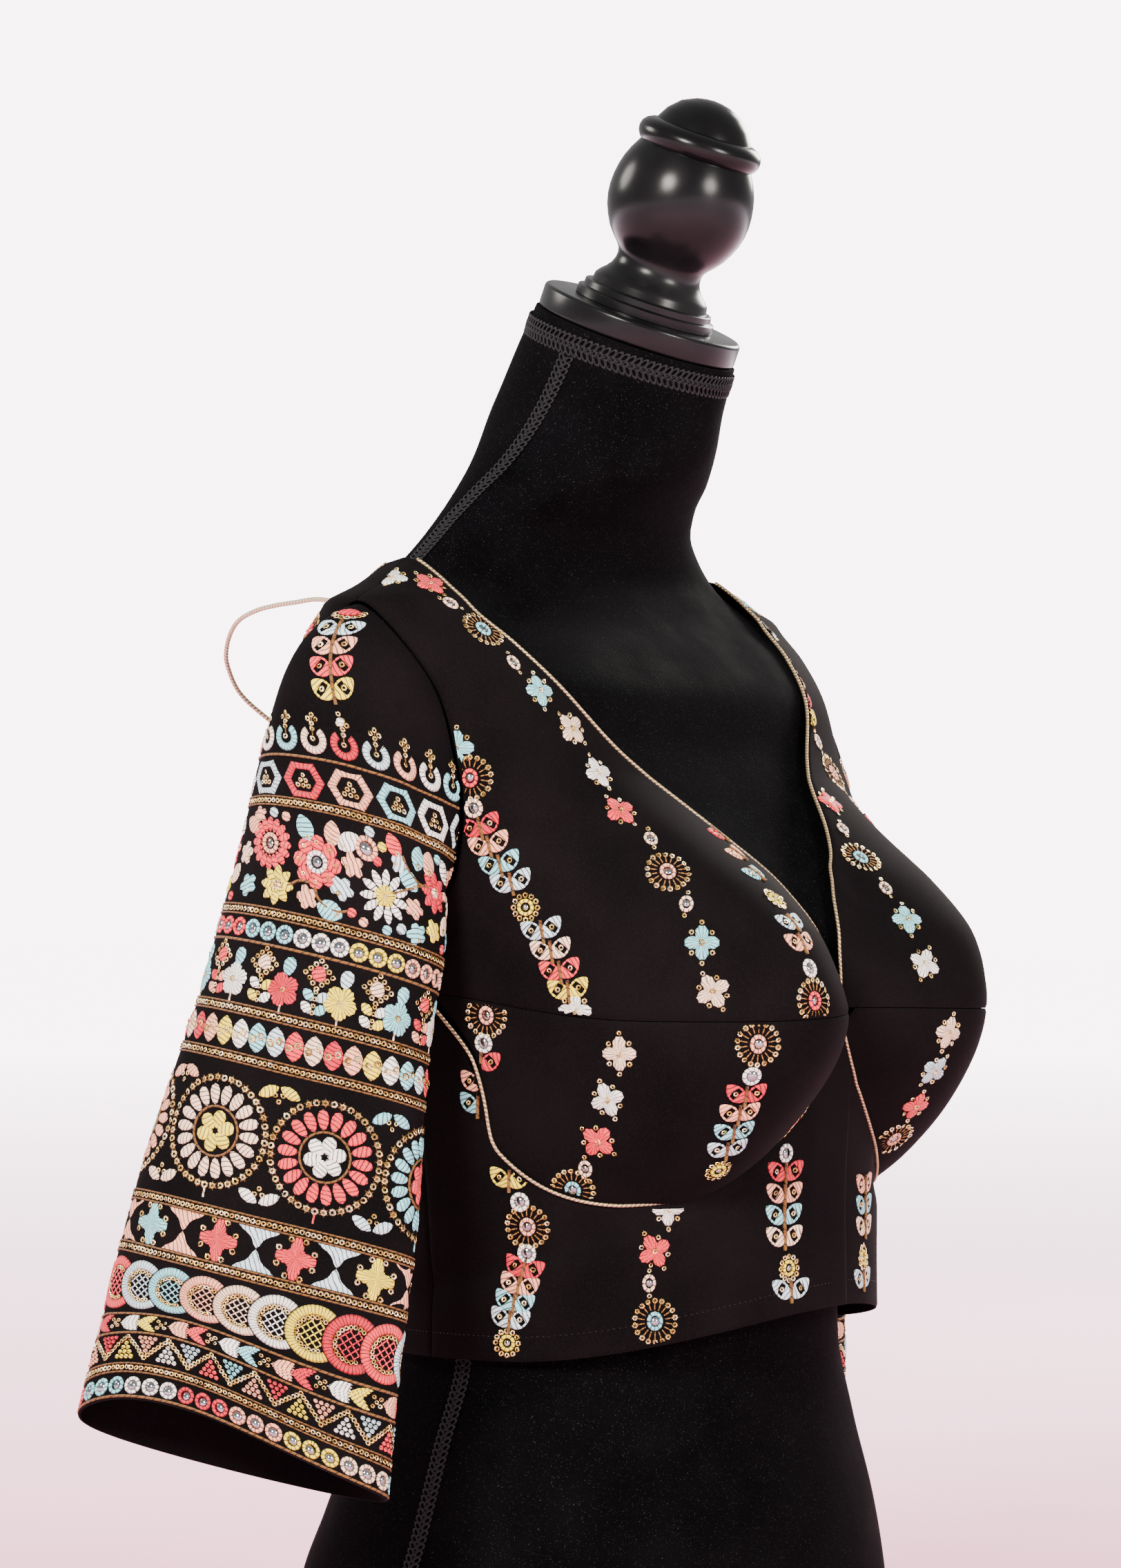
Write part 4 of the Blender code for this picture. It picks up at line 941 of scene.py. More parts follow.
def sleeve_ring(side, turn, z):
    """Point of a ring whose middle is at height z; turn 0 is the sleeve's outer side, pi/2 its front edge."""
    front, outward = sleeve_axes(side)
    swing, back, _ = SLEEVE_HANG[side]
    drop = FIRST_RING - z
    middle = np.stack([side * (SLEEVE_X + swing * drop), SLEEVE_Y + back * drop, z], -1)
    wide, deep, bow = ((along(z, SLEEVE_ROWS, i) * MM)[..., None] for i in (HALF_WIDE, HALF_DEEP, BOW))
    middle = middle - bow * front
    return middle + wide * np.sin(turn)[..., None] * front + deep * np.cos(turn)[..., None] * outward


def tube_height(down):
    """Height of a ring's middle, from the share of the way down."""
    return FIRST_RING + (CUFF_HEIGHT - FIRST_RING) * np.clip((down - CAP_SHARE) / (1 - CAP_SHARE), 0, 1)


def sleeve_point(side, turn, down):
    """Point of a sleeve: down is 0 at the armhole and 1 at the cuff."""
    turn, down = np.broadcast_arrays(np.asarray(turn, float), np.asarray(down, float))
    start = body_point(side, *armhole(turn, 0.99))
    first = sleeve_ring(side, turn, np.full(turn.shape, FIRST_RING))
    fall = unit(sleeve_ring(side, turn, np.full(turn.shape, FIRST_RING - 10 * MM)) - first)
    reach = np.linalg.norm(first - start, axis=-1, keepdims=True)
    top = (0.5 + 0.5 * np.cos(turn))[..., None]
    backward = CAP_BACK * np.clip(0.4 - np.sin(turn), 0, 1)
    leave = unit(np.stack([np.full(turn.shape, side * 1.0), backward, -0.35 - 0.5 * (1 - top[..., 0])], -1))
    t = np.clip(down / CAP_SHARE, 0, 1)[..., None]
    cap = hermite(t, start, reach * leave * (0.7 + 0.5 * top), first, reach * fall * (0.9 + 0.3 * top))
    rings = sleeve_ring(side, turn, tube_height(down))
    point = np.where(down[..., None] <= CAP_SHARE, cap, rings)
    inward = unit(sleeve_ring(side, turn + math.pi, tube_height(down)) - rings)
    for row_down, around, depth, length, width in DENT_ROWS + GATHER_ROWS:
        off = np.angle(np.exp(1j * (turn - math.radians(around))))
        weight = np.exp(-(((down - row_down) / length) ** 2) - (off / math.radians(width)) ** 2)
        point = point + (depth * MM * weight * ease(down / 0.06))[..., None] * inward
    off = np.degrees(np.angle(np.exp(1j * (turn - math.radians(CUFF_RISE_TURN)))))
    rise = CUFF_RISE * np.exp(-((off / CUFF_RISE_SPREAD) ** 2)) * ease((down - 0.78) / 0.16)
    return point - rise[..., None] * fall


for side in (-1, 1):
    turn = np.arange(SLEEVE_AROUND) * 2 * math.pi / SLEEVE_AROUND
    down = np.unique([0, 0.004, 0.010, *np.linspace(0.02, CAP_SHARE, 44), *np.linspace(CAP_SHARE, 0.99, 60), 1])
    v, u = np.meshgrid(down, turn, indexing="ij")
    outer = sleeve_point(side, u, v)
    du = sleeve_point(side, u + 0.02, v) - sleeve_point(side, u - 0.02, v)
    dv = sleeve_point(side, u, np.clip(v + 0.008, 0, 1)) - sleeve_point(side, u, np.clip(v - 0.008, 0, 1))
    found = unit(np.cross(du, dv) * side)
    rolled = outer - (SEAM_ROLL * (1 - ease(v / 0.012)))[..., None] * found
    sleeve = shell(f"sleeve_cloth_{label(side)}", [(rolled, outer - CLOTH * found)], closed=True)
    dress(sleeve, f"sleeve_{label(side)}")


# ---- piping
# Thin piping, a cord of gold lurex, is sewn into the neckline in front and behind, and lies along the curved
# under-bust seams.
PIPING_RADIUS = 0.9 * MM
TUCK_DEPTH = 2.2 * MM  # where the right cup folds over its piping
# Gold and a near-black brown; the dark one is painted shade between the strands.
PIPING_FINISH = lurex("gold_piping", (0.42, 0.31, 0.17), (0.13, 0.08, 0.035))


def edge_route(side, angle, z, away):
    """Points beside a panel's edge: half a wall in, and off the edge by a gap and the piping's radius."""
    on_edge = body_point(side, angle, z)
    out = cloth_normals(side, angle, z)
    off = unit(np.cross(out, np.gradient(on_edge, axis=0)))
    sign = np.sign((off * away).sum(axis=1, keepdims=True))
    return on_edge - out * CLOTH / 2 + off * sign * (PIPING_RADIUS + GAP)


def pipe(name, side, route):
    made = tube(f"{name}_cord_{side}", even(route, 2.5 * MM), PIPING_RADIUS, PIPING_FINISH, sides=10)
    dress(made, f"{name}_{side}")


for side in (-1, 1):
    angle, z = front_neck(np.linspace(0.02, 0.992, 90))
    pipe("neck_piping", label(side), edge_route(side, angle, z, (-side, 0, 0.3)))
    angle, z = under_bust(np.linspace(0.035, 0.985, 120))
    out = cloth_normals(side, angle, z)
    tuck = TUCK_DEPTH * np.clip((angle - 13) / 9, 0, 1) * np.clip((53 - angle) / 9, 0, 1) * (side < 0)
    route = cloth_point(side, angle, z, lap_lift(side, angle)) + out * (PIPING_RADIUS * 0.7 - tuck)[:, None]
    pipe("under_bust_piping", label(side), route)
halves = []
for side in (-1, 1):
    angle, z = back_middle(np.linspace(BACK_NECK_SHARE, 0.992, 60))
    halves.append(edge_route(side, angle, z, (-side * 0.5, 0, 1.0)))
middle = (halves[0][:1] + halves[1][:1]) / 2
pipe("neck_piping", "back", np.vstack([halves[0][:0:-1], middle, halves[1][1:]]))

# ---- where embroidery lies
# The panels are embroidered flat before they are cut and sewn, so every stitch is drawn on flat cloth in
# millimetres and then laid on the worn shape: x across it, y up it, and a height above it.
MAP_STEP = 1.25  # millimetres
MAP_REACH = 230  # millimetres
OUTER_LINE = 180  # number of the line down a sleeve's outer side, of twice that many round it
SEAM_CLEAR = 0.8 * MM
NUDGE = 1e-9  # keeps places rising where cloth lies still
SAG_MIDDLE = 10.0
SAG_REACH = 88.0
SAG_DOWN = (-180, -100, -60, 0, 60, 110, 160, 200, 225, 250, 262)
SAG = (0, 5, 5, 7.5, 8.5, 6.5, 5, 7, 6, 1.5, 0)


def band_sag(x, down):
    """How far the worked rows curve down in the middle of a sleeve's outer face."""
    return np.clip(1 - ((x - SAG_MIDDLE) / SAG_REACH) ** 2, 0, 1) * np.interp(down, SAG_DOWN, SAG)


class SleeveCloth:
    """Flat cloth of a sleeve: x towards its front edge from its outer line, y down from its first ring."""

    def __init__(self, side):
        turn = np.linspace(-math.pi, math.pi, 2 * OUTER_LINE + 1)
        down = np.concatenate([np.linspace(0, CAP_SHARE, 90)[:-1], np.linspace(CAP_SHARE, 1, 150)])
        skin = sleeve_point(side, turn[None, :], down[:, None])
        first = sleeve_ring(side, np.zeros(1), np.full(1, FIRST_RING))[0]
        axis = np.cross(*sleeve_axes(side))
        axis = axis * np.sign((skin[-1, OUTER_LINE] - first) @ axis)
        tube_run = run_along(sleeve_ring(side, np.zeros(len(down)), tube_height(down)))
        cap_line = skin[down <= CAP_SHARE, OUTER_LINE]
        cap_run = run_along(cap_line)
        cap_level = np.maximum.accumulate((cap_line - first) @ axis) + np.arange(len(cap_line)) * NUDGE
        level = np.maximum.accumulate((skin - first) @ axis, axis=0)
        place = np.interp(level, cap_level, cap_run - cap_run[-1])
        place = np.maximum.accumulate(np.where((down > CAP_SHARE)[:, None], tube_run[:, None], place), axis=0)
        self.rows = np.arange(place.min() / MM, tube_run[-1] / MM + 3, MAP_STEP)
        self.columns = np.arange(-MAP_REACH, MAP_REACH + 0.1, MAP_STEP)
        wanted = self.rows * MM
        points = np.zeros((len(wanted), len(turn), 3))
        inside = np.zeros((len(wanted), len(turn)))
        for k in range(len(turn)):
            column = place[:, k] + np.arange(len(down)) * NUDGE
            points[:, k] = resample(wanted, column, skin[:, k])
            inside[:, k] = (wanted > column[0] + SEAM_CLEAR) & (wanted < column[-1] + GAP)
        self.points = np.zeros((len(wanted), len(self.columns), 3))
        self.inside = np.zeros((len(wanted), len(self.columns)))
        for i in range(len(wanted)):
            reach = run_along(points[i])
            reach = (reach - reach[OUTER_LINE]) / MM
            beyond = (self.columns < reach[0] + 0.8) | (self.columns > reach[-1] - 0.8)
            self.points[i] = resample(self.columns, reach, points[i])
            self.inside[i] = np.where(beyond, 0, np.interp(self.columns, reach, inside[i]))
        out = np.cross(np.gradient(self.points, axis=1), -np.gradient(self.points, axis=0)) * -side
        self.out = out / (np.linalg.norm(out, axis=-1, keepdims=True) + 1e-12)

    def pick(self, grid, row, column):
        row = np.clip(row, 0, grid.shape[0] - 1.001)
        column = np.clip(column, 0, grid.shape[1] - 1.001)
        i, j = row.astype(int), column.astype(int)
        s, t = row - i, column - j
        if grid.ndim == 3:
            s, t = s[..., None], t[..., None]
        low = grid[i, j] * (1 - t) + grid[i, j + 1] * t
        return low * (1 - s) + (grid[i + 1, j] * (1 - t) + grid[i + 1, j + 1] * t) * s

    def lay(self, centre, x, y, height):
        """Points at x and y from centres (0, x, y), and whether each is on the cloth."""
        across, run_down = centre[..., 1] + x, centre[..., 2] - y
        run_down = run_down + band_sag(across, run_down)
        row = (run_down - self.rows[0]) / MAP_STEP
        column = (across - self.columns[0]) / MAP_STEP
        points = self.pick(self.points, row, column) + self.pick(self.out, row, column) * height[..., None] * MM
        return points, (self.pick(self.inside, row, column) > 0.5) & (row > 0) & (row < len(self.rows) - 1)


# ---- embroidery stitches
# Silk floss, couched brown cord, gold sequins and small round mirrors, worked by hand over the whole cloth. Each
# stitch shape is a low pad or ring, drawn flat in millimetres, turned and laid on the cloth.
SINK = 0.15  # millimetres that a shape's foot lies in the cloth
LOFT = 0.78  # how far the floss stands up against its loose height
FLOSS = {
    "coral": (240, 52, 62), "crimson": (214, 14, 46), "peach": (252, 176, 140), "ivory": (253, 220, 186),
    "sky": (140, 222, 228), "ice": (198, 226, 232), "yellow": (250, 226, 44), "white": (252, 252, 242),
    "brown": (114, 74, 16), "gold": (156, 104, 34), "dark": (9, 8, 8),
}
# Copies of one gold given to sequins at random: the palest is a painted glint and the darkest painted shade.
SEQUIN_GOLDS_GLINT_AND_SHADE = ((0.92, 0.74, 0.30), (0.78, 0.57, 0.16), (1.0, 0.90, 0.52), (0.55, 0.38, 0.10))
SEQUIN_SHARES = (0.4, 0.25, 0.2, 0.15)
MIRROR_GREY = (0.32, 0.33, 0.35)
THREADS, SEQUINS, MIRRORS = range(3)


def floss_colour(name):
    """Linear colour of a floss named by its dye."""
    share = np.array(FLOSS[name]) / 255
    return tuple(np.where(share <= 0.04045, share / 12.92, ((share + 0.055) / 1.055) ** 2.4))


def dye_and_sequin_glint(finish):
    """The colour given to each stitch: the floss's dye, the mirrors' grey, and for sequins golds among which are a
    painted glint and painted shade.
    """
    return finish.node("ShaderNodeAttribute", {"attribute_name": "tint"})


def floss_finish():
    made = Finish("silk_floss", roughness=0.5, sheen_weight=0.04, sheen_roughness=0.4, specular_ior_level=0.25)
    across, _ = made.over_and_along()
    place = made.place()
    # Painted shade: the colour darkens in the troughs of the strands and in the gaps between groups of them; the fibre
    # noise is the floss's own uneven tone.
    strand = (across * 1.45 + made.noise(place, 300, 1) * 0.8).wave()
    gap = (across * 0.42 + made.noise(place, 120, 1) * 1.4).wave().kept(0.0, 0.24)
    fibre = made.noise(place, 1100, 2).kept(0.3, 0.75)
    painted_shade_and_fibre_tone = (1.0 - strand) * 0.28 + (1.0 - fibre) * 0.20 + (1.0 - gap) * 0.7
    colour = made.blend(painted_shade_and_fibre_tone, dye_and_sequin_glint(made), (0.016, 0.008, 0.008))
    return made.finished(colour, 0.42 + fibre * 0.25, strand + fibre * 0.5 + gap * 1.2, 0.28 * MM, 0.9)


def sequin_finish():
    made = Finish("gold_sequins", metallic=1.0, roughness=0.3)
    dull = made.noise(made.place(), 420, 2).kept(0.4, 0.7)
    return made.finished(made.blend(dull * 0.35, dye_and_sequin_glint(made), (0.25, 0.13, 0.04)), 0.14 + dull * 0.22)


def mirror_finish():
    made = Finish("little_mirrors", metallic=1.0, roughness=0.12)
    flaw = made.noise(made.place(), 240, 2).kept(0.35, 0.75)
    return made.finished(made.blend(flaw * 0.7, dye_and_sequin_glint(made), (0.12, 0.12, 0.13)), 0.06 + flaw * 0.2)


EMBROIDERY_FINISHES = (floss_finish(), sequin_finish(), mirror_finish())


def thread_map(points, quads, tris, n, along_thread, radial):
    """Add the place of each corner across the threads, in units of the shape's width and length."""
    quads = np.array(quads, int).reshape(-1, 4)
    tris = np.array(tris, int).reshape(-1, 3)
    maps = []
    for faces in (quads, tris):
        flat = points[faces]
        place = np.stack([flat[..., 0] * along_thread[0], flat[..., 1] * along_thread[1]], -1)
        if radial:
            column = faces % n
            wraps = (column.max(axis=1) - column.min(axis=1) > n // 2)[:, None] & (column == 0)
            column = np.where(wraps, n, column)
            middle = faces >= len(points) - (2 if len(tris) else 0)
            column = np.where(middle, np.where(middle, 0, column).max(axis=1, keepdims=True), column)
            place = np.stack([column / n * math.pi * radial, np.zeros(column.shape)], -1)
        maps.append(place)
    return points, quads, tris, maps[0], maps[1]


DOME = ((1, -SINK), (0.86, 0.62))
TALL = ((1, -SINK), (0.94, 0.5), (0.6, 0.95))


def ring_points(outline, high):
    return np.column_stack([outline, np.full(len(outline), high)])


def padded_shape(outline, levels=DOME, crown=1.0, along_thread=(0.35, 1.0), radial=0.0):
    """A domed pad over an outline that can be seen whole from its middle: points, quads, triangles, thread map."""
    outline = np.array(outline)
    n = len(outline)
    rings = [ring_points(outline * size, high) for size, high in levels]
    top = n * len(levels)
    tris = []
    for k in range(n):
        j = (k + 1) % n
        tris += [(top - n + k, top - n + j, top), (j, k, top + 1)]
    points = np.vstack([*rings, [(0, 0, crown)], [(0, 0, -SINK)]])
    return thread_map(points, ring_quads(len(levels), n), tris, n, along_thread, radial)


def hollow_shape(outline, inner, crown=0.9, radial=0.8, shoulder=0.3, arc=False):
    """A raised ring from an outline to a smaller copy of it, or to another; with arc, one with closed ends."""
    outline = np.array(outline)
    n = len(outline)
    inward = outline * inner - outline
    loops = zip((0, shoulder, 1 - shoulder, 1), (-SINK, crown, crown, -SINK))
    points = np.vstack([ring_points(outline + inward * part, high) for part, high in loops])
    quads = ring_quads(4, n, closed=True, steps=n - 1 if arc else n)
    if arc:
        quads += [(0, n, 2 * n, 3 * n), (4 * n - 1, 3 * n - 1, 2 * n - 1, n - 1)]
    return thread_map(points, quads, [], n, (0.3, 1.0), radial)


def circle(n, start=0.0, end=None):
    """Places round a circle a unit across, from the top; with an end, on an arc of it."""
    spin = start + np.arange(n) * 2 * math.pi / n if end is None else np.linspace(start, end, n)
    return np.column_stack([-np.sin(spin), np.cos(spin)]) * 0.5


def egg(n, blunt=0.2, point=1.0):
    """An outline that is wider towards its far end; point above 1 sharpens both ends."""
    spin = np.arange(n) * 2 * math.pi / n
    wide = -np.sin(spin) * np.abs(np.sin(spin)) ** (point - 1) * (1 + blunt * np.cos(spin))
    return np.column_stack([wide * 0.5, np.cos(spin) * 0.5])


def rosette(lobes, depth, n, teeth=0.03, full=0.7, pointed=False):
    """An outline with lobes and small teeth, as buttonhole stitches leave it."""
    spin = np.arange(n) * 2 * math.pi / n
    swell = np.abs(np.cos(spin * lobes / 2)) ** full
    if pointed:
        swell = 1 - np.abs(np.sin(spin * lobes / 2)) ** full
    reach = 0.5 * (1 - depth + depth * swell) * (1 + teeth * np.where(np.arange(n) % 2, 1, -1))
    return np.column_stack([-np.sin(spin) * reach, np.cos(spin) * reach])


def sequin_shape(n):
    levels = ((1, 0.24), (0.38, 0.34), (0.66, -0.12))
    points = np.vstack([ring_points(circle(n) * size, high) for size, high in levels])
    return thread_map(points, ring_quads(3, n, closed=True), [], n, (0, 1), 0)


LEAF = egg(20, -0.12, 1.3)
LEAF_GAP = np.minimum(0.36 / (np.abs(LEAF[:, :1]) + 1e-6), 0.115 / (np.abs(LEAF[:, 1:]) + 1e-6))
STEP_EDGE = ((-0.5, 0.5), (0, 0.5), (0.5, 0.5), (0.41, 0.33), (0.28, 0.19), (0.18, 0.04), (0.12, -0.12), (0.08, -0.32))
STEP_EDGE = STEP_EDGE + ((0, -0.5), *((-x, y) for x, y in STEP_EDGE[:2:-1]))
SHAPES = {
    "petal": padded_shape(egg(10, 0.22)),
    "leaf": padded_shape(egg(10, 0.0, 1.5)),
    "lemon": padded_shape(egg(14, 0.0, 1.5), TALL),
    "ball": padded_shape(circle(8), crown=1.15),
    "disc": padded_shape(circle(12), ((1, -SINK), (0.95, 0.42)), 0.5),
    "blossom": padded_shape(rosette(5, 0.24, 40), TALL, 0.75, radial=1.0),
    "lobed": padded_shape(rosette(5, 0.36, 30, 0.03, 0.9), TALL, 0.8, (0.25, 1.0)),
    "four": padded_shape(rosette(4, 0.52, 40, 0.03, 1.0), TALL, 0.75, radial=1.0),
    "star": padded_shape(rosette(4, 0.50, 40, 0.05, 1.4, True), TALL, 0.9, radial=1.0),
    "spark": padded_shape(rosette(6, 0.55, 12, 0.0), ((1, -SINK), (0.9, 0.1)), 0.2),
    "stepped": padded_shape(STEP_EDGE[::-1], ((1, -SINK), (0.95, 0.35), (0.5, 0.45)), 0.5, (0.9, 0.5)),
    "bar": padded_shape(((-0.5, -0.5), (0.5, -0.5), (0.5, 0.5), (-0.5, 0.5)), ((1, -SINK), (0.8, 0.4)), 0.45),
    "mirror ring": hollow_shape(circle(14), 0.50, 0.85, 0.75),
    "leaf ring": hollow_shape(LEAF, LEAF_GAP, 0.8, 0, 0.16),
    "hexagon": hollow_shape([(-0.5, 0), (-0.27, -0.5), (0.27, -0.5), (0.5, 0), (0.27, 0.5), (-0.27, 0.5)], 0.56, 0.8),
    "crescent": hollow_shape(circle(16, 0.62, 2 * math.pi - 0.62), 0.42, arc=True),
    "half ring": hollow_shape(circle(26, math.radians(-37.5), math.radians(217.5)), 0.62, 1.0, 0.85, arc=True),
    "sequin": sequin_shape(7),
}


class Work:
    """Everything sewn on one cloth, by shape, as rows of numbers; and its couched cords."""

    def __init__(self, seed):
        self.rows = {}
        self.cords = []
        self.chance = np.random.default_rng(seed)


class Needle:
    """Sews shapes round one place of the cloth. A turn is anticlockwise, in degrees, with 0 pointing up."""

    def __init__(self, work, place, turn=0.0, scale=1.0):
        self.work = work
        self.place = place
        self.turn = turn
        self.scale = scale

    def spot(self, x, y):
        turn = math.radians(self.turn)
        x, y = x * self.scale, y * self.scale
        return x * math.cos(turn) - y * math.sin(turn), x * math.sin(turn) + y * math.cos(turn)

    def put(self, shape, x, y, wide, long, tint, turn=0.0, high=0.9, lift=0.0, kind=THREADS, lean=(0, 0)):
        colour = np.array(floss_colour(tint) if isinstance(tint, str) else tint)
        colour = colour * (1 + 0.10 * (self.work.chance.random() - 0.5))
        size = wide * self.scale, long * self.scale
        row = (*self.place, *self.spot(x, y), math.radians(turn + self.turn), *size, high, lift, *lean, *colour)
        self.work.rows.setdefault((shape, kind), []).append(row)

    def sequin(self, x, y, size, lift=0.0):
        chance = self.work.chance
        # Each sequin takes one of the golds, among which are a painted glint and painted shade.
        gold = SEQUIN_GOLDS_GLINT_AND_SHADE[chance.choice(4, p=SEQUIN_SHARES)]
        lean = chance.normal(0, 0.14, 2)
        self.put("sequin", x, y, size, size, gold, high=1.0, lift=lift + 0.12, kind=SEQUINS, lean=lean)

    def sequins(self, spots, size, lift=0.0):
        for x, y, *_ in spots:
            self.sequin(x, y, size, lift)

    def mirror_ring(self, wide, long, tint, glass, high=1.1, lift=0.15):
        """A ring worked over a round mirror."""
        self.put("mirror ring", 0, 0, wide, long, tint, high=high)
        lean = self.work.chance.normal(0, 0.10, 2)
        self.put("disc", 0, 0, glass, glass, MIRROR_GREY, lift=lift, kind=MIRRORS, lean=lean)

    def around(self, count, radius, start=0.0):
        """Places on a circle, clockwise from the top, each with the turn that points outwards."""
        for k in range(count):
            spin = math.radians(start) + 2 * math.pi * k / count
            yield radius * math.sin(spin), radius * math.cos(spin), -math.degrees(spin)

    def cord(self, route, wide, tint="brown", high=0.8, lift=0.0):
        places = np.array([self.spot(x, y) for x, y in route])
        self.work.cords.append((self.place, places, wide * self.scale, high, lift, floss_colour(tint)))


def lay_cords(work, lay, base):
    """Points, quads, thread map and colours of the couched cords."""
    flat, tints, quads, maps = [], [], [], []
    for place, route, wide, high, lift, tint in work.cords:
        ahead = unit(np.gradient(route, axis=0))
        beside = np.column_stack([ahead[:, 1], -ahead[:, 0]])
        n, run = len(route), run_along(route)
        first = len(tints)
        low, high_run = run[:-1], run[1:]
        for level, (off, rise) in enumerate(((-0.5, -SINK), (-0.28, high * 0.85), (0.28, high * 0.85), (0.5, -SINK))):
            spots = route + beside * off * wide
            flat.append(np.column_stack([np.tile(place, (n, 1)), spots, np.full(n, rise + lift)]))
            k = np.arange(n - 1)
            below, above = first + level * n + k, first + (level + 1) % 4 * n + k
            quads.append(np.column_stack([below + 1, below, above, above + 1]))
            slant = 0.7 * level
            maps.append(np.column_stack([high_run, low, low + 0.7, high_run + 0.7]) + slant)
        quads.append(first + np.array([(0, n, 2 * n, 3 * n), (4 * n - 1, 3 * n - 1, 2 * n - 1, n - 1)]))
        maps.append(np.zeros((2, 4)))
        tints += [tint] * (4 * n)
    flat, quads, maps = np.vstack(flat), np.vstack(quads), np.vstack(maps)
    points, on = lay(flat[:, :3], flat[:, 3], flat[:, 4], flat[:, 5])
    keep = on[quads].all(axis=1)
    return points, quads[keep] + base, maps[keep] * 0.62, tints


def sew(name, work, lay, flip=False):
    """Make one object of all that is sewn on a cloth."""
    points, tints, count = [], [], 0
    faces = {4: [], 3: []}
    for (shape, kind), rows in work.rows.items():
        flat, quads, tris, quad_map, tri_map = SHAPES[shape]
        table = np.array(rows, float)
        n, v = len(table), len(flat)
        x0, y0, turn, wide, long, high, lift, lean_x, lean_y = (table[:, 3 + k, None] for k in range(9))
        px, py = flat[:, 0] * wide, flat[:, 1] * long
        pz = np.where(flat[:, 2] > 0, flat[:, 2] * high * LOFT, flat[:, 2]) + lift * LOFT + px * lean_x + py * lean_y
        x = x0 + px * np.cos(turn) - py * np.sin(turn)
        y = y0 + px * np.sin(turn) + py * np.cos(turn)
        laid, on = lay(np.repeat(table[:, :3], v, axis=0), x.ravel(), y.ravel(), pz.ravel())
        points.append(laid)
        tints.append(np.repeat(table[:, 12:15], v, axis=0))
        on = on.reshape(n, v)
        whole = on.mean(axis=1) > 0.25
        for corners, unit_faces, places in ((4, quads, quad_map), (3, tris, tri_map)):
            keep = on[:, unit_faces].all(axis=2) & whole[:, None]
            index = unit_faces[None] + (count + np.arange(n) * v)[:, None, None]
            where = places[None, ..., 0] * wide[:, :, None] + places[None, ..., 1] * long[:, :, None]
            faces[corners].append((index[keep], where[keep], np.full(keep.sum(), kind)))
        count += n * v
    if work.cords:
        laid, quads, where, colours = lay_cords(work, lay, count)
        points.append(laid)
        tints.append(colours)
        faces[4].append((quads, where, np.full(len(quads), THREADS)))
    groups = []
    for size, parts in faces.items():
        index, where, kind = (np.concatenate(column) for column in zip(*parts))
        if flip:
            index, where = index[:, ::-1], where[:, ::-1]
        groups.append((index.ravel(), where.ravel(), kind, np.full(len(index), size)))
    corners, maps, kinds, sizes = (np.concatenate(column) for column in zip(*groups))
    used, corners = np.unique(corners, return_inverse=True)
    points, tints = np.vstack(points)[used], np.vstack(tints)[used]
    data = bpy.data.meshes.new(name)
    for finish in EMBROIDERY_FINISHES:
        data.materials.append(finish)
    data.vertices.add(len(points))
    data.loops.add(len(corners))
    data.polygons.add(len(sizes))
    data.vertices.foreach_set("co", points.ravel())
    data.loops.foreach_set("vertex_index", corners.astype(np.int32))
    data.polygons.foreach_set("loop_start", (np.cumsum(sizes) - sizes).astype(np.int32))
    data.polygons.foreach_set("material_index", kinds.astype(np.int32))
    data.update(calc_edges=True)
    over = np.column_stack([maps, np.zeros(len(maps))])
    data.uv_layers.new(name="UVMap").data.foreach_set("uv", over.ravel())
    tints = np.column_stack([tints, np.ones(len(tints))])
    data.color_attributes.new("tint", "FLOAT_COLOR", "POINT").data.foreach_set("color", tints.ravel())
    data.validate()
    data.shade_smooth()
    dress(new_object(name, data))


def leaf_pair(needle, y, tint, long=13.6, wide=8.6, spread=5.4, lean=47):
    """Two pointed leaves on a brown stem, each with a sequin in the gap across its middle."""
    for hand in (-1, 1):
        needle.put("leaf ring", hand * spread, y + 1.6, wide, long, tint, turn=-hand * lean)
        needle.sequin(hand * spread, y + 1.6, 3.1, 0.2)
    needle.cord(((0, y - 5.8), (0, y), (0, y + 5.8)), 1.9, high=1.1, lift=0.3)


# ---- embroidery of the sleeves
# The sleeves are worked in rows: flower strings at the cap, crescents and hexagons, a wide band of flowers, then
# blossoms, shells, wheels, stars, overlapping rings, zigzags and mirrors down to the cuff.
BAND_REACH = 200.0


def stations(work, down, pitch, first):
    """Numbers of what repeats along a row, and a needle at each."""
    for k in range(math.ceil((-BAND_REACH - first) / pitch), math.floor((BAND_REACH - first) / pitch) + 1):
        yield k, Needle(work, (0, first + k * pitch, down))


def next_of(names, k):
    """The k-th of a few names that come round again."""
    names = names.split()
    return names[k % len(names)]


def long_cord(work, down, wide=1.4):
    across = np.arange(-BAND_REACH, BAND_REACH, 2.5)
    Needle(work, (0, 0, down)).cord(np.column_stack([across, np.zeros(len(across))]), wide)


def border(work, down, reach=2.3, wide=1.1):
    """A row of sequins between two couched cords."""
    for hand in (-1, 1):
        long_cord(work, down + hand * reach, wide)
    for _, needle in stations(work, down, 2.8, 0.0):
        needle.sequin(0, 0, 3.15, 0.35)


def mirror_row(work, down, pitch, size, first, names, shift):
    for k, needle in stations(work, down, pitch, first):
        needle.mirror_ring(size, size, next_of(names, (k + shift) // 3), size * 0.52)


def crescent_row(work, down):
    for k, needle in stations(work, down, 16.6, -12):
        needle.put("crescent", 0, 0, 15.2, 15.2, next_of("sky ivory crimson ice peach white", k), high=1.1)
        needle.sequin(0, 0.3, 3.2)
        needle.sequins(((0, 5.2), (0, 8), (-2.1, 10.2), (2.1, 10.2), (0, 12.2)), 3)
        needle.cord(((0, 1.5), (0, 6), (0, 11)), 0.8, high=0.3)


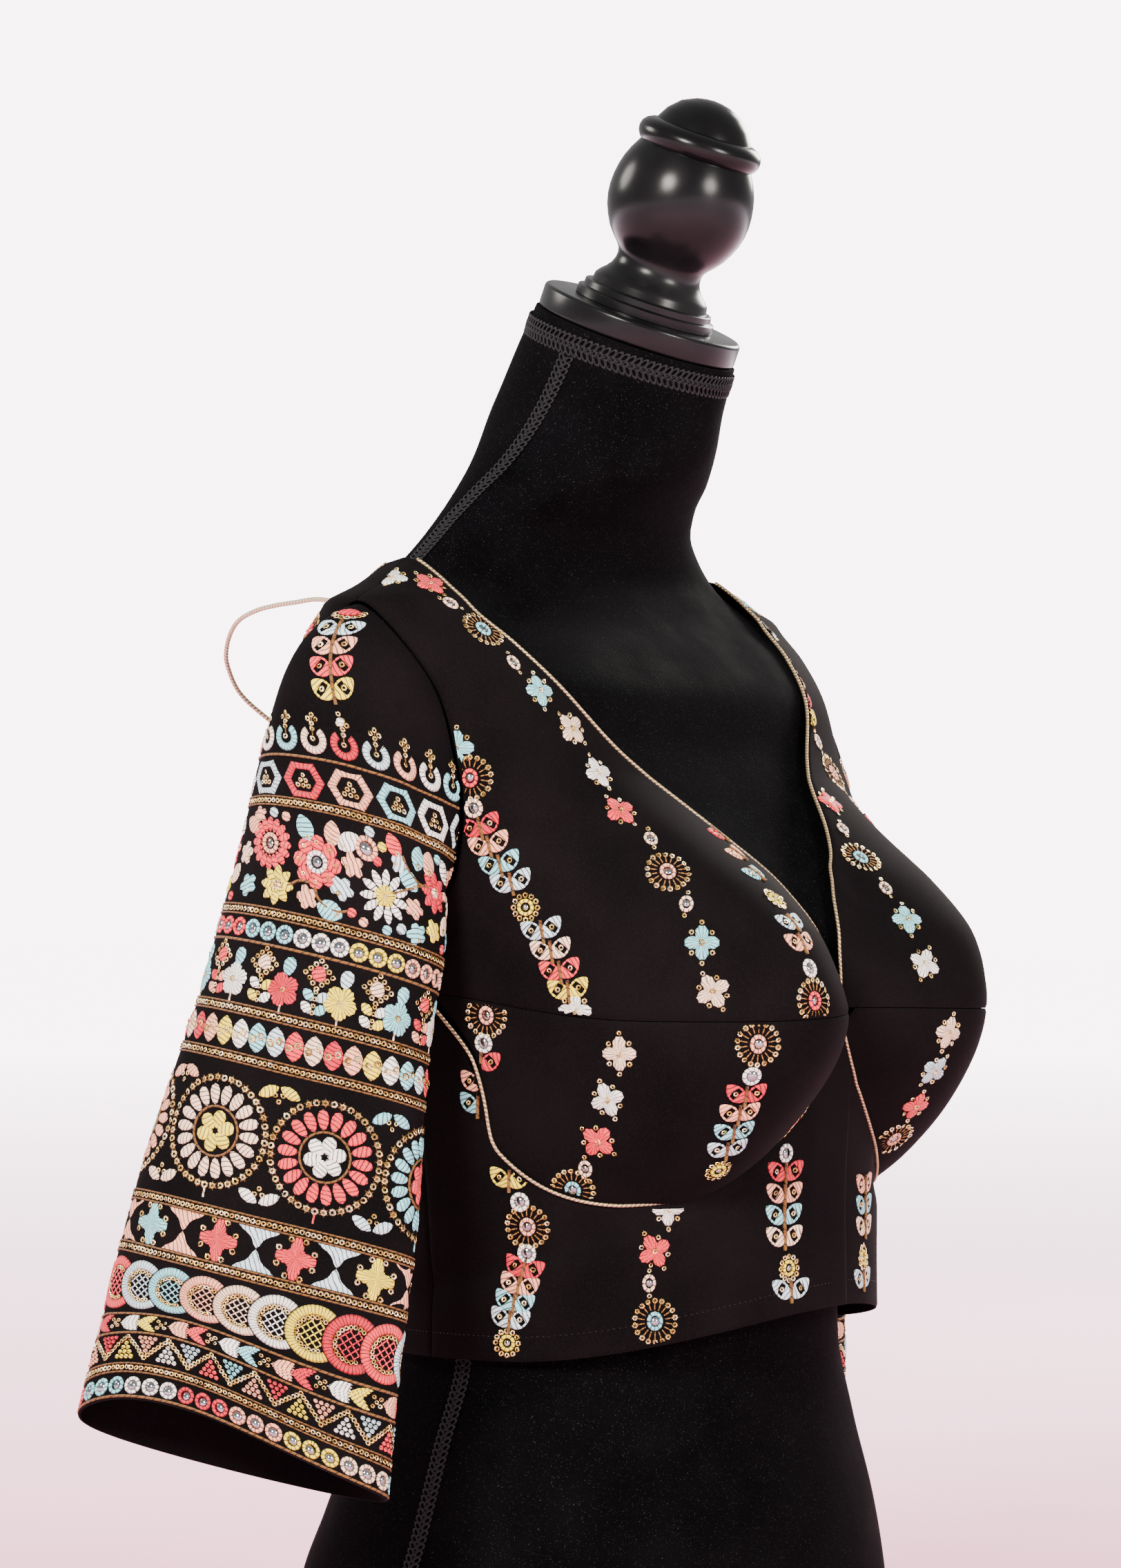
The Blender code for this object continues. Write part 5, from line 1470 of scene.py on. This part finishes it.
def hexagon_row(work, down):
    for k, needle in stations(work, down, 25.2, -28.5):
        needle.put("hexagon", 0, 0, 24.6, 18.4, next_of("ice crimson peach sky white", k), high=1.1)
        needle.sequins(((0, 2.6), (-1.5, 0), (1.5, 0), (-3, -2.6), (0, -2.6), (3, -2.6)), 2.9)


def rows_of(text):
    """Rows of words and numbers from text, with a comma between rows."""
    return [[word if word[0].isalpha() else float(word) for word in row.split()] for row in text.split(",")]


# The wide band of flowers: what, across, down, turn, size, colour.
FLORAL_ROWS = rows_of("""
daisy -25 -36.2 0 26 coral, eight -18.8 -16.5 0 20 yellow, open 2.5 -31 0 26 coral, leaf 10.5 -46 -2 12 peach,
leaf 18.8 -44 -50 12.5 white, leaf -4 -46 25 13 sky, ball -22.5 -51.5 0 5.8 ice, ball -14.8 -50.2 0 5.4 peach,
leaf -39 -45 60 12 peach, fan -33 -50 10 10.5 peach, round 28 -43.3 0 12.5 peach, ball 33.5 -38.6 0 5.2 crimson,
ball 36.2 -46 0 5.2 yellow, ball 30 -51.6 0 5.8 ice, leaf 42.5 -48.3 25 11.5 coral, fan 45 -40.3 -80 10.5 ice,
leaf 57 -46.5 -14 12 sky, leaf 50.5 -34.5 55 12.5 sky, leaf 65 -46 -10 12.5 peach, eight 69 -33.5 0 21 crimson,
aster 38 -23.2 0 26 white, fan 54.5 -22 -20 12 peach, fan 20.8 -33.6 -60 13.5 peach, fan 16 -21.4 -30 13.5 ice,
fan -1 -13.6 -50 13 peach, leaf 11.5 -9.8 75 13.5 sky, fan -43.5 -30.5 60 13 ivory, fan -38.5 -14.5 30 13.5 sky,
ball 22.5 -11.4 0 5.2 coral, ball 29 -8.4 0 5.2 peach, ball 41.2 -7.8 0 5.4 sky, ball 48.4 -10.4 0 5.8 ice,
fan 57.5 -10.5 30 13 sky, fan 69 -15 -40 12.5 yellow, leaf 80 -20 -40 12 ivory, leaf 79 -46 30 12 white,
ball 72.5 -50.5 0 5.4 sky, ball 78.5 -34 0 5.4 peach, ball 79.5 -8.4 0 5.4 coral
""")
FLORAL_REPEAT = 133.0
# Its vines: across, down, and a smooth line from there.
VINE_ROWS = (
    (2.5, -19, ((0, 0), (2, -4.5), (6.5, -7.6), (13, -8.8), (19, -7))),
    (47, -45, ((0, 0), (2.5, -5), (6, -8.5), (11, -10.5), (17, -10))),
    (47, -45, ((-6, -20), (2, -15.5), (10, -11.5), (16, -10))),
    (2.5, -19, ((-15, -2), (-9, 1.5), (-3, 1.8))),
)
# Petals of the large flowers: how many, how far out, their shape, width and length, and the colour of the eye.
PETALS = {
    "daisy": (16, 0.36, "petal", 0.155, 0.30, "peach"),
    "aster": (11, 0.33, "leaf", 0.17, 0.36, "yellow"),
    "eight": (8, 0.29, "leaf", 0.26, 0.42, "ivory"),
    "open": (8, 0.335, "petal", 0.30, 0.34, "white"),
}


def floral_item(needle, what, size, tint):
    if what in PETALS:
        count, away, shape, wide, long, eye = PETALS[what]
        for a, b, turn in needle.around(count, size * away):
            needle.put(shape, a, b, size * wide, size * long, tint, turn)
    if what == "daisy":
        needle.mirror_ring(size * 0.43, size * 0.43, eye, size * 0.2, 1.2, 0.2)
    elif what == "aster":
        needle.put("blossom", 0, 0, size * 0.44, size * 0.44, eye, high=1.2)
        needle.sequin(0, 0, 2.4, 0.8)
    elif what == "eight":
        needle.put("ball", 0, 0, size * 0.26, size * 0.26, eye, high=1.2)
        needle.sequin(0, 0, 2.8, 0.9)
    elif what == "open":
        needle.sequins(needle.around(8, size * 0.36), 2.5, 0.7)
        needle.mirror_ring(size * 0.46, size * 0.46, eye, size * 0.2, 1.25, 0.2)
    elif what == "round":
        needle.mirror_ring(size, size, tint, size * 0.52)
    elif what == "ball":
        needle.put("ball", 0, 0, size, size, tint, high=1.3)
    elif what == "leaf":
        needle.put("lemon", 0, 0, size * 0.74, size * 1.08, tint)
        needle.sequin(0, -size * 0.32, 2.4, 0.7)
    elif what == "fan":
        needle.put("lobed", 0, 0, size, size * 0.86, tint, high=1.1)
        needle.sequin(0, -size * 0.24, 2.4, 0.7)


def floral_band(work):
    for repeat in (-1, 0, 1):
        shift = repeat * FLORAL_REPEAT
        for what, x, down, turn, size, tint in FLORAL_ROWS:
            floral_item(Needle(work, (0, x + shift, down), turn), what, size, tint)
        for x, down, route in VINE_ROWS:
            bent = smooth_route([(a, b, 0) for a, b in route], 16)[:, :2]
            Needle(work, (0, x + shift, down)).cord(bent, 1.5)


def blossom_row(work, down, low):
    for k, needle in stations(work, down, 29.6, -33.5):
        needle.cord(((0, -6), (0, -9), (0, -12)), 1.1, "ivory", high=0.5)
        needle.put("petal", 1.2, 11.6, 7, 10, next_of("sky sky ice sky", k), -8)
        needle.put("blossom", 0, 0, 17.2, 17.2, next_of("white crimson yellow sky", k), k * 20, high=1.1)
        needle.sequin(0, 0, 3.44, 0.75)
    for k, needle in stations(work, low, 29.6, -16.5):
        needle.put("petal", 0, 0, 8, 8, next_of("ivory coral", k), 45)
        for i in range(12):
            share, spin = i % 3 / 3, math.radians(90 * (i // 3))
            a, b = 6.9 * (1 - share), 6.9 * share
            turned = a * math.sin(spin) + b * math.cos(spin), a * math.cos(spin) - b * math.sin(spin)
            needle.sequin(*turned, 3.1, 0.3)
        four = "white/yellow/yellow/white sky/ice/white/sky yellow/white/white/yellow crimson/peach/peach/crimson"
        for i, tint in enumerate(next_of(four, k).split("/")):
            hand = i % 2 * 2 - 1
            needle.put("leaf", hand * 3.6, -10.5 - 6.2 * (i // 2), 5.4, 7.6, tint, -hand * 52)
        needle.sequins([(0, -8.6 - 3.4 * i) for i in range(4)], 2.6, 0.4)


def shell_row(work, down):
    for k, needle in stations(work, down, 9.9, -2.5):
        tint = next_of("ice coral ivory crimson peach yellow white sky", k)
        needle.put("lemon", 0, 0, 10.2, 15.2, tint, high=1.1, turn=4)
        needle.sequins(((-2.1, -0.9), (2.1, 0.9)), 4.1, 1.1)


def wheel_row(work, down):
    spin = np.linspace(0, 2 * math.pi, 33)
    for k, needle in stations(work, down, 58, -26):
        outer, inner = next_of("ivory/yellow coral/white sky/coral yellow/crimson peach/sky", k).split("/")
        for i, (a, b, turn) in enumerate(needle.around(40, 27.3)):
            if i % 2:
                needle.put("spark", a, b, 5.6, 5.6, "brown", turn, lift=0.05)
            needle.sequin(a, b, 3.6 if i % 2 else 4, 0.1)
        for a, b, turn in needle.around(18, 18.7, 8):
            needle.put("petal", a, b, 5.9, 11.2, outer, turn, high=1.1)
        needle.cord(np.column_stack([np.sin(spin), np.cos(spin)]) * 12.6, 1.4)
        for a, b, turn in needle.around(6, 6.1, 10):
            needle.put("petal", a, b, 7.4, 10, inner, turn, high=1.15)
        needle.cord(((0, -28), (0, -31), (0, -33.6)), 1.2, outer, high=0.5)


def tulip(needle, tint, hand):
    """Two spread leaves and three sequins, hanging (1) or standing (-1)."""
    for side in (-1, 1):
        needle.put("leaf", side * 5.6, -hand * 1.2, 6.2, 12, tint, -side * (62 if hand < 0 else 118), high=1.1)
    needle.sequins(((-2, -hand * 2.8), (2, -hand * 2.8), (0, -hand * 5.8)), 3)


def tulip_rows(work, high, low):
    for k, needle in stations(work, high, 58, 4):
        x = needle.place[1]
        tulip(Needle(work, (0, x, high), 6), next_of("yellow sky coral white peach", k), 1)
        tulip(Needle(work, (0, x - 1, low), 2), next_of("white ice yellow coral ivory", k), -1)


def star_row(work, down):
    for k, needle in stations(work, down, 40.5, -13.5):
        needle.put("star", 0, 0, 22, 22, next_of("coral coral yellow ivory sky", k), high=1.1)
        needle.sequins(needle.around(8, 9.6, 22.5), 3.5)
    for k, needle in stations(work, down, 40.5, 6.7):
        tint = next_of("ice ice peach peach", k)
        for hand, turn in ((1, 0), (-1, 180)):
            needle.put("stepped", 0, hand * 5.2, 22, 10.2, tint, turn, high=0.8)


def ring_row(work, down):
    """Wide buttonhole rings round a net, each lying over its left neighbour."""
    pitch, outer, opening = 19.2, 15.2, 9.4
    for k, needle in stations(work, down, pitch, -15):
        tint = next_of("peach ivory white yellow crimson coral ice sky", k)
        needle.put("half ring", 0, 0, 2 * outer, 2 * outer, tint, high=0.95)
        for a, b, _ in needle.around(23, opening - 0.7):
            if math.hypot(a - pitch, b) > outer + 0.6:
                needle.sequin(a, b, 2.9)
        reach = opening - 1.9
        for slope in (-1, 1):
            for off in np.arange(-2, 2.1) * 3.1:
                t = np.linspace(-reach, reach, 60)
                a, b = (t + slope * off) * math.sqrt(0.5), (slope * t - off) * math.sqrt(0.5)
                inside = (np.hypot(a, b) < reach) & (np.hypot(a - pitch, b) > outer)
                if inside.sum() > 6:
                    a, b = a[inside], b[inside]
                    middle = (a[0] + a[-1]) / 2, (b[0] + b[-1]) / 2
                    length = math.hypot(a[-1] - a[0], b[-1] - b[0])
                    needle.put("bar", *middle, 0.75, length, tint, -45 * slope, high=0.8, lift=0.1)


def flame_row(work, down):
    for k, needle in stations(work, down, 29.5, -22):
        base, tip = next_of("peach/coral white/sky peach/crimson white/yellow", k).split("/")
        for j in range(-3, 4):
            needle.put("leaf", -6.8 + abs(j) * 0.5, j * 1.3, 2.7, 13.0 - abs(j), base, 90 + j * 3, high=0.9)
            needle.put("leaf", 1.6 + abs(j) * 1.4, j * 1.35, 2.5, 10, tip, 90 + j * 4, high=0.8)
        needle.sequins(((13, 0), (11.2, 2.3), (11.2, -2.3), (15.2, 1.7), (15.2, -1.7)), 2.7)


def zigzag_row(work, down):
    height, pitch = 12.4, 24.5
    steps = int(math.hypot(pitch / 2, height) / 2.45)
    for k, needle in stations(work, down, pitch, -7.5):
        low, high = next_of("coral peach yellow white", k), next_of("sky crimson peach ice", k)
        for hand in (-1, 1):
            for i in range(steps + 1):
                needle.sequin(hand * pitch / 2 * i / steps, -height * i / steps, 3.1, 0.1)
        for row in range(4):
            for i in range(row + 1):
                spot = (i - row / 2) * 2.9
                needle.put("ball", spot, -4.6 - row * 2.55, 2.6, 2.6, low, high=1.2)
                needle.put("ball", pitch / 2 + spot, 4.0 - height + row * 2.55, 2.6, 2.6, high, high=1.2)


def cap_string(work, x, down, turn, tints, flower="peach"):
    """A half flower with a fringe of sequins over leaf pairs on a stem, down the cap."""
    needle = Needle(work, (0, x, down), turn, 1.08)
    needle.put("lemon", 0, 0, 5.6, 10.5, flower, 90, high=1.2)
    for i in range(10):
        spin = math.radians(85 + 21 * i)
        needle.sequin(6.6 * math.sin(spin), 4.6 * math.cos(spin), 3.1)
    tints = tints.split()
    for i, tint in enumerate(tints):
        leaf_pair(needle, -13 - 10.6 * i, tint)
    end = -14 - 10.6 * len(tints)
    needle.sequin(0, end + 2, 2.6)
    needle.put("ball", 0, end - 1.5, 4.2, 4.2, "white", high=1.2)


for side in (-1, 1):
    cloth = SleeveCloth(side)
    work = Work(11 + side)
    cap_string(work, 5, -163, 14, "ice peach coral yellow", "crimson")
    cap_string(work, -66, -139, -8, "coral peach sky")
    cap_string(work, 104, -118, 6, "coral ice")
    crescent_row(work, -91)
    long_cord(work, -81.5, 1.6)
    hexagon_row(work, -69.5)
    border(work, -57.5, 2.1, 1)
    floral_band(work)
    border(work, -2.5)
    mirror_row(work, 6.3, 9.7, 9.9, 10.5, "white yellow peach ivory coral sky", 1)
    long_cord(work, 12.8, 1.6)
    blossom_row(work, 32.5, 21.5)
    sew(f"embroidery_high_{label(side)}", work, cloth.lay, side > 0)
    work = Work(21 + side)
    border(work, 46.2)
    shell_row(work, 58.2)
    border(work, 70)
    wheel_row(work, 109.0)
    tulip_rows(work, 81.0, 137.5)
    border(work, 148.2)
    star_row(work, 161.3)
    border(work, 174.5)
    ring_row(work, 194.8)
    long_cord(work, 212.8, 1.7)
    flame_row(work, 219.2)
    long_cord(work, 226, 1.7)
    zigzag_row(work, 228.6)
    border(work, 246.8)
    mirror_row(work, 256.2, 9.9, 9.7, 1.2, "crimson peach yellow ivory sky coral sky white", 2)
    long_cord(work, 262, 1.6)
    sew(f"embroidery_low_{label(side)}", work, cloth.lay, side > 0)


# ---- embroidery of the body
# Strings of blossoms, open rings, sunbursts and leaf pairs run down the cups, the midriff and the back. They were
# worked before cutting, so the seams cut through them.
BUST_SEAM_CLEAR = 1.0 * MM
CURVED_SEAM_CLEAR = 1.7 * MM
HEM_STITCH = 12.5 * MM
seam_angle, seam_height = under_bust(np.linspace(0, 1, 500))


def panel_at(angle, z):
    """Panel under each place, as 1 upper cup, 2 lower cup, 3 midriff, 4 back; 0 in a seam or off the cloth."""
    seam = side_seam(z)
    curved = np.interp(angle, seam_angle, seam_height)
    steep = np.interp(angle + 1, seam_angle, seam_height) - np.interp(angle - 1, seam_angle, seam_height)
    gap = (z - curved) / np.hypot(1, steep / (2 * 2.4 * MM))
    level = z - bust_height(angle)
    front = np.select(
        [level > BUST_SEAM_CLEAR, (level < -BUST_SEAM_CLEAR) & (gap > CURVED_SEAM_CLEAR), gap < -CURVED_SEAM_CLEAR],
        [1, 2, 3],
        0,
    )
    front = np.where((front == 1) & (z > V_POINT) & (angle < neck_angle(np.maximum(z, V_POINT)) + 0.6), 0, front)
    front = np.where(z > SHOULDER_NECK - 5 * MM, 0, front)
    back = np.where((z > BACK_NECK) & (angle > neck_angle(np.maximum(z, BACK_NECK), back=True) - 1.5), 0, 4)
    panel = np.where(angle < seam - 0.5, front, np.where(angle > seam + 0.5, back, 0))
    middle = (SHOULDER_TIP + UNDERARM) / 2
    rise = np.clip((z - middle) / (SHOULDER_TIP - middle), -1, 1)
    reach = np.where(angle < 90, ARMHOLE_FRONT * (1 + ARMHOLE_HIGH * rise), ARMHOLE_BACK) * 1.04
    hole = ((angle - 90) / reach) ** 2 + ((z - middle) / ((SHOULDER_TIP - middle) * 1.03)) ** 2 < 1
    return np.where(hole | (z < hem_height(np.minimum(angle, 90)) + 1.5 * MM), 0, panel)


def lay_on_body(centre, x, y, height):
    """Points at x and y from places (side, angle, height), and whether each lies on its motif's own panel."""
    side, angle, z = centre.T
    out = cloth_normals(side, angle, z)
    up = unit(np.array([0, 0, 1.0]) - out[:, 2:] * out)
    right = np.cross(up, out)
    goal = cloth_point(side, angle, z) + (x * MM)[:, None] * right + (y * MM)[:, None] * up
    a, b = angle.copy(), z.copy()
    for _ in range(3):
        here = cloth_point(side, a, b)
        da = (cloth_point(side, a + 0.2, b) - here) / 0.2
        db = (cloth_point(side, a, b + 0.5 * MM) - here) / (0.5 * MM)
        miss = goal - here
        m11, m12, e = ((step * right).sum(1) for step in (da, db, miss))
        m21, m22, f = ((step * up).sum(1) for step in (da, db, miss))
        scale = m11 * m22 - m12 * m21
        scale = np.where(np.abs(scale) < 1e-6, 1e-6, scale)
        a = a + np.clip((e * m22 - m12 * f) / scale, -8, 8)
        b = b + np.clip((m11 * f - m21 * e) / scale, -20 * MM, 20 * MM)
    points = cloth_point(side, a, b, out=lap_lift(side, a)) + cloth_normals(side, a, b) * height[:, None] * MM
    home = panel_at(angle, z)
    home = np.where(home == 0, np.where(angle > side_seam(z), 4, np.where(z > bust_height(angle), 1, 3)), home)
    return points, (panel_at(a, b) == home) & (np.abs(a - angle) < 30)


# What, angle, height, turn, colour.
RIGHT_STRINGS = rows_of("""
blossom 84.5 617 0 white, blossom 61 614 20 coral, oval 49 604 60 ivory, sunburst 44 591 0 sky, oval 42 574 10 ivory,
blossom 40 560 0 sky, blossom 36.5 541 40 ivory, blossom 35.5 519 10 white, blossom 37.5 500 30 coral,
oval 37.5 486 0 ivory, sunburst 40.5 470 0 peach, oval 42.5 454 -10 ivory, blossom 44.5 435 0 sky,
blossom 46 411 30 ivory, blossom 60 380 0 ivory, blossom 62.5 357 20 white, blossom 63.5 336 50 coral,
oval 64 322 0 ivory, sunburst 64 311 0 sky, blossom 43 301 0 white, blossom 46.5 280 30 coral, oval 48 264 0 ivory,
sunburst 47 245 0 sky, blossom 64.5 531 0 sky, sunburst 64.5 516 0 coral, ring 67 501 0 ivory,
pair 67.2 491 14 crimson, pair 66.8 482 14 peach, pair 66.2 472.5 14 sky, pair 65.4 463.5 12 ice,
halo 64.4 452 0 yellow, pair 63.6 440 10 ice, pair 63.6 430 8 ivory, pair 63.6 420 8 coral, pair 63.6 410.5 6 yellow,
blossom 63.8 401 0 white, sunburst 78.5 398 0 peach, ring 80 384 0 white, pair 81 374 -6 crimson,
pair 82 363 -6 peach, pair 82.5 352 -6 sky, pair 76.5 315 -4 yellow, ring 74.5 304.5 0 white,
sunburst 73.2 292 0 peach, ring 74 278.5 0 white, pair 74.8 270 -10 crimson, pair 75.9 261.5 -10 peach,
pair 77 253 -8 sky, pair 78 244.5 -6 ice, halo 78.6 233.5 0 yellow, sunburst 42 385 0 peach, ring 42.5 369 0 white,
pair 42.5 359 2 crimson, pair 42.3 349.5 4 peach, pair 41.5 340 6 sky, pair 40.6 331 8 ice, halo 39 320.5 0 yellow,
pair 19 488 10 crimson, pair 21.2 478 10 peach, pair 23.5 468 8 sky, halo 26 456 0 yellow, pair 27.5 444 4 ice,
pair 28.8 434 4 peach, ring 29.5 422 0 white, sunburst 30.5 406 0 coral, sunburst 15.5 342 0 coral,
ring 15.5 326.5 0 white, wide 15.6 316 0 crimson, wide 15.8 305 0 peach, wide 16 294 0 sky, wide 16 283 0 ivory,
halo 15 268 0 yellow, wide 14.6 256 0 ice
""")
LEFT_STRINGS = rows_of("""
blossom 84.5 617 0 white, blossom 63 616 0 sky, blossom 43 600 20 white, blossom 37 582 30 ivory,
pair 34.5 570 8 peach, pair 33.5 560 4 coral, pair 33 550 0 yellow, oval 34 538 0 ivory, sunburst 36 521 0 peach,
oval 38 505 0 ivory, pair 39.5 494 -8 crimson, pair 41.5 484 -8 peach, pair 43 474 -8 sky, halo 45 461 0 yellow,
pair 46 448 -4 ice, pair 47 438 -4 ivory, pair 48 428 -4 coral, blossom 25 505 20 coral, oval 21.5 491 20 ivory,
sunburst 18.7 476 0 sky, oval 17.4 460 0 ivory, blossom 16.7 444 0 sky, blossom 16 421 30 white,
blossom 19.5 385 10 ivory, blossom 20.5 365 30 ice, blossom 22.5 346 0 coral, sunburst 25 328 0 peach
""")
LEFT_STRINGS += [row for row in RIGHT_STRINGS if row[1] > 52 and row[2] < 540]
LEFT_STRINGS += [row for row in RIGHT_STRINGS if row[1] < 52 and row[2] < 310]
# Height, what, colour.
BACK_STRING = rows_of("""
590 sunburst coral, 573 ring white, 561 pair crimson, 550 pair peach, 539 pair sky, 525 halo yellow, 511 pair ice,
500 pair coral, 484 blossom white, 464 blossom coral, 449 oval ivory, 432 sunburst sky, 415 ring white,
404 pair crimson, 393 pair peach, 382 pair yellow, 368 halo yellow, 350 blossom ivory, 330 blossom coral,
314 oval ivory, 297 sunburst peach, 280 ring white, 269 pair sky, 258 pair peach, 243 halo yellow
""")
BACK_ANGLES = ((118, 0), (140, -9), (162, 5))  # angle, shift in height


def body_motif(needle, what, tint):
    if what == "blossom":
        needle.put("four", 0, 0, 17.6, 17.6, tint, high=1.1)
        needle.sequin(0, 0, 3.52, 0.75)
        needle.sequins(needle.around(4, 7.2, 45), 3)
        needle.sequins(((0, -10.2), (0, 10.2)), 2.8)
    elif what == "sunburst":
        for a, b, turn in needle.around(18, 8.1):
            needle.put("bar", a, b, 0.6, 5.8, "gold", turn, high=0.6)
        needle.sequins(needle.around(18, 10.4), 3.2)
        needle.mirror_ring(8.64, 10.08, tint, 4.56, 1.2, 0.2)
    elif what == "oval":
        needle.mirror_ring(7.4, 9.6, tint, 3.6, 1.1, 0.2)
        needle.sequins(((0, -6.4), (0, 6.4)), 2.8)
    elif what == "ring":
        needle.mirror_ring(10.4, 10.4, tint, 5.408)
    elif what == "halo":
        needle.mirror_ring(9, 9, tint, 3.24)
        needle.sequins(needle.around(12, 6.1), 3.2)
    elif what == "pair":
        leaf_pair(needle, 0, tint)
    elif what == "wide":
        leaf_pair(needle, 0, tint, 15.6, 8.8, 6.6, 55)


def hem_stitches(work, side):
    """A row of small black stitches that holds the hem's turning."""
    for angle in np.arange(3.0, 180, 1.25):
        z = float(hem_height(min(angle, 90.0))) + HEM_STITCH
        Needle(work, (side, angle, z)).put("bar", 0, 0, 0.22, 1.2, "dark", 90, high=0.2)


for side in (-1, 1):
    front_work, back_work = Work(31 + side), Work(41 + side)
    for what, angle, height, turn, tint in RIGHT_STRINGS if side < 0 else LEFT_STRINGS:
        body_motif(Needle(front_work, (side, angle, height * MM), turn * -side), what, tint)
    for angle, shift in BACK_ANGLES:
        for height, what, tint in BACK_STRING:
            place = (height + shift) * MM
            if place >= hem_height(90.0) + 6 * MM and panel_at(np.array(float(angle)), np.array(place)) == 4:
                body_motif(Needle(back_work, (side, angle, place)), what, tint)
    hem_stitches(front_work, side)
    sew(f"embroidery_front_{label(side)}", front_work, lay_on_body)
    sew(f"embroidery_back_{label(side)}", back_work, lay_on_body)


# ---- studio
# A pale floor that glows, faintly near the form and as brightly as the backdrop far away, and soft disc lights: on the
# wearer's right, in front, on the left and behind.
def glowing_floor():
    made = Finish("glowing_pale_floor", roughness=0.95, specular_ior_level=0.1, emission_strength=7.0)
    place = made.place()
    far = made.node("ShaderNodeVectorMath", {"operation": "LENGTH"}, {0: place}, output=1).kept(0.6, 8.0)
    near = made.blend(made.noise(place, 3, 3), (0.92, 0.46, 0.58), (0.92, 0.52, 0.64))
    # Painted glow: the floor gives off light, faint near the form and as bright as the backdrop far off.
    made.feed(made.shader.inputs["Emission Color"], made.blend(far, (0.075, 0.02, 0.035), (1.0, 0.82, 0.92)))
    return made.finished(made.blend(far, near, (0.94, 0.88, 0.91)), 0.95)


select_none()
bpy.ops.mesh.primitive_grid_add(x_subdivisions=8, y_subdivisions=8, size=30)
floor = bpy.context.active_object
floor.name = floor.data.name = "floor"
floor.data.materials.append(glowing_floor())

# Name, azimuth from the front towards the wearer's right, height, distance, size, power.
LIGHTS = (
    ("key", 78, 1.7, 2.5, 0.75, 215), ("front", 12, 1.4, 2.8, 0.8, 145), ("rim", -95, 1.7, 2.6, 0.9, 70),
    ("behind", 165, 2.1, 2.6, 1, 70),
)
for name, azimuth, height, distance, size, power in LIGHTS:
    data = bpy.data.lights.new(name, "AREA")
    data.shape = "DISK"
    data.size = size
    data.energy = power
    data.color = (1.0, 0.95, 0.88)
    lamp = new_object(name, data)
    spin = math.radians(azimuth)
    lamp.location = (-distance * math.sin(spin), -distance * math.cos(spin), height)
    lamp.rotation_euler = (Vector((0, 0, 0.42)) - lamp.location).to_track_quat("-Z", "Y").to_euler()
world = bpy.data.worlds.new("studio")
world.use_nodes = True
tree = world.node_tree
soft = tree.nodes["Background"]
soft.inputs["Color"].default_value = (1.0, 0.98, 0.98, 1)
soft.inputs["Strength"].default_value = 0.8
wall = tree.nodes.new("ShaderNodeBackground")
wall.inputs["Color"].default_value = (1.0, 0.84, 0.93, 1)
wall.inputs["Strength"].default_value = 7.8
choice = tree.nodes.new("ShaderNodeMixShader")
tree.links.new(tree.nodes.new("ShaderNodeLightPath").outputs["Is Camera Ray"], choice.inputs[0])
tree.links.new(soft.outputs[0], choice.inputs[1])
tree.links.new(wall.outputs[0], choice.inputs[2])
tree.links.new(choice.outputs[0], tree.nodes["World Output"].inputs["Surface"])
bpy.context.scene.world = world
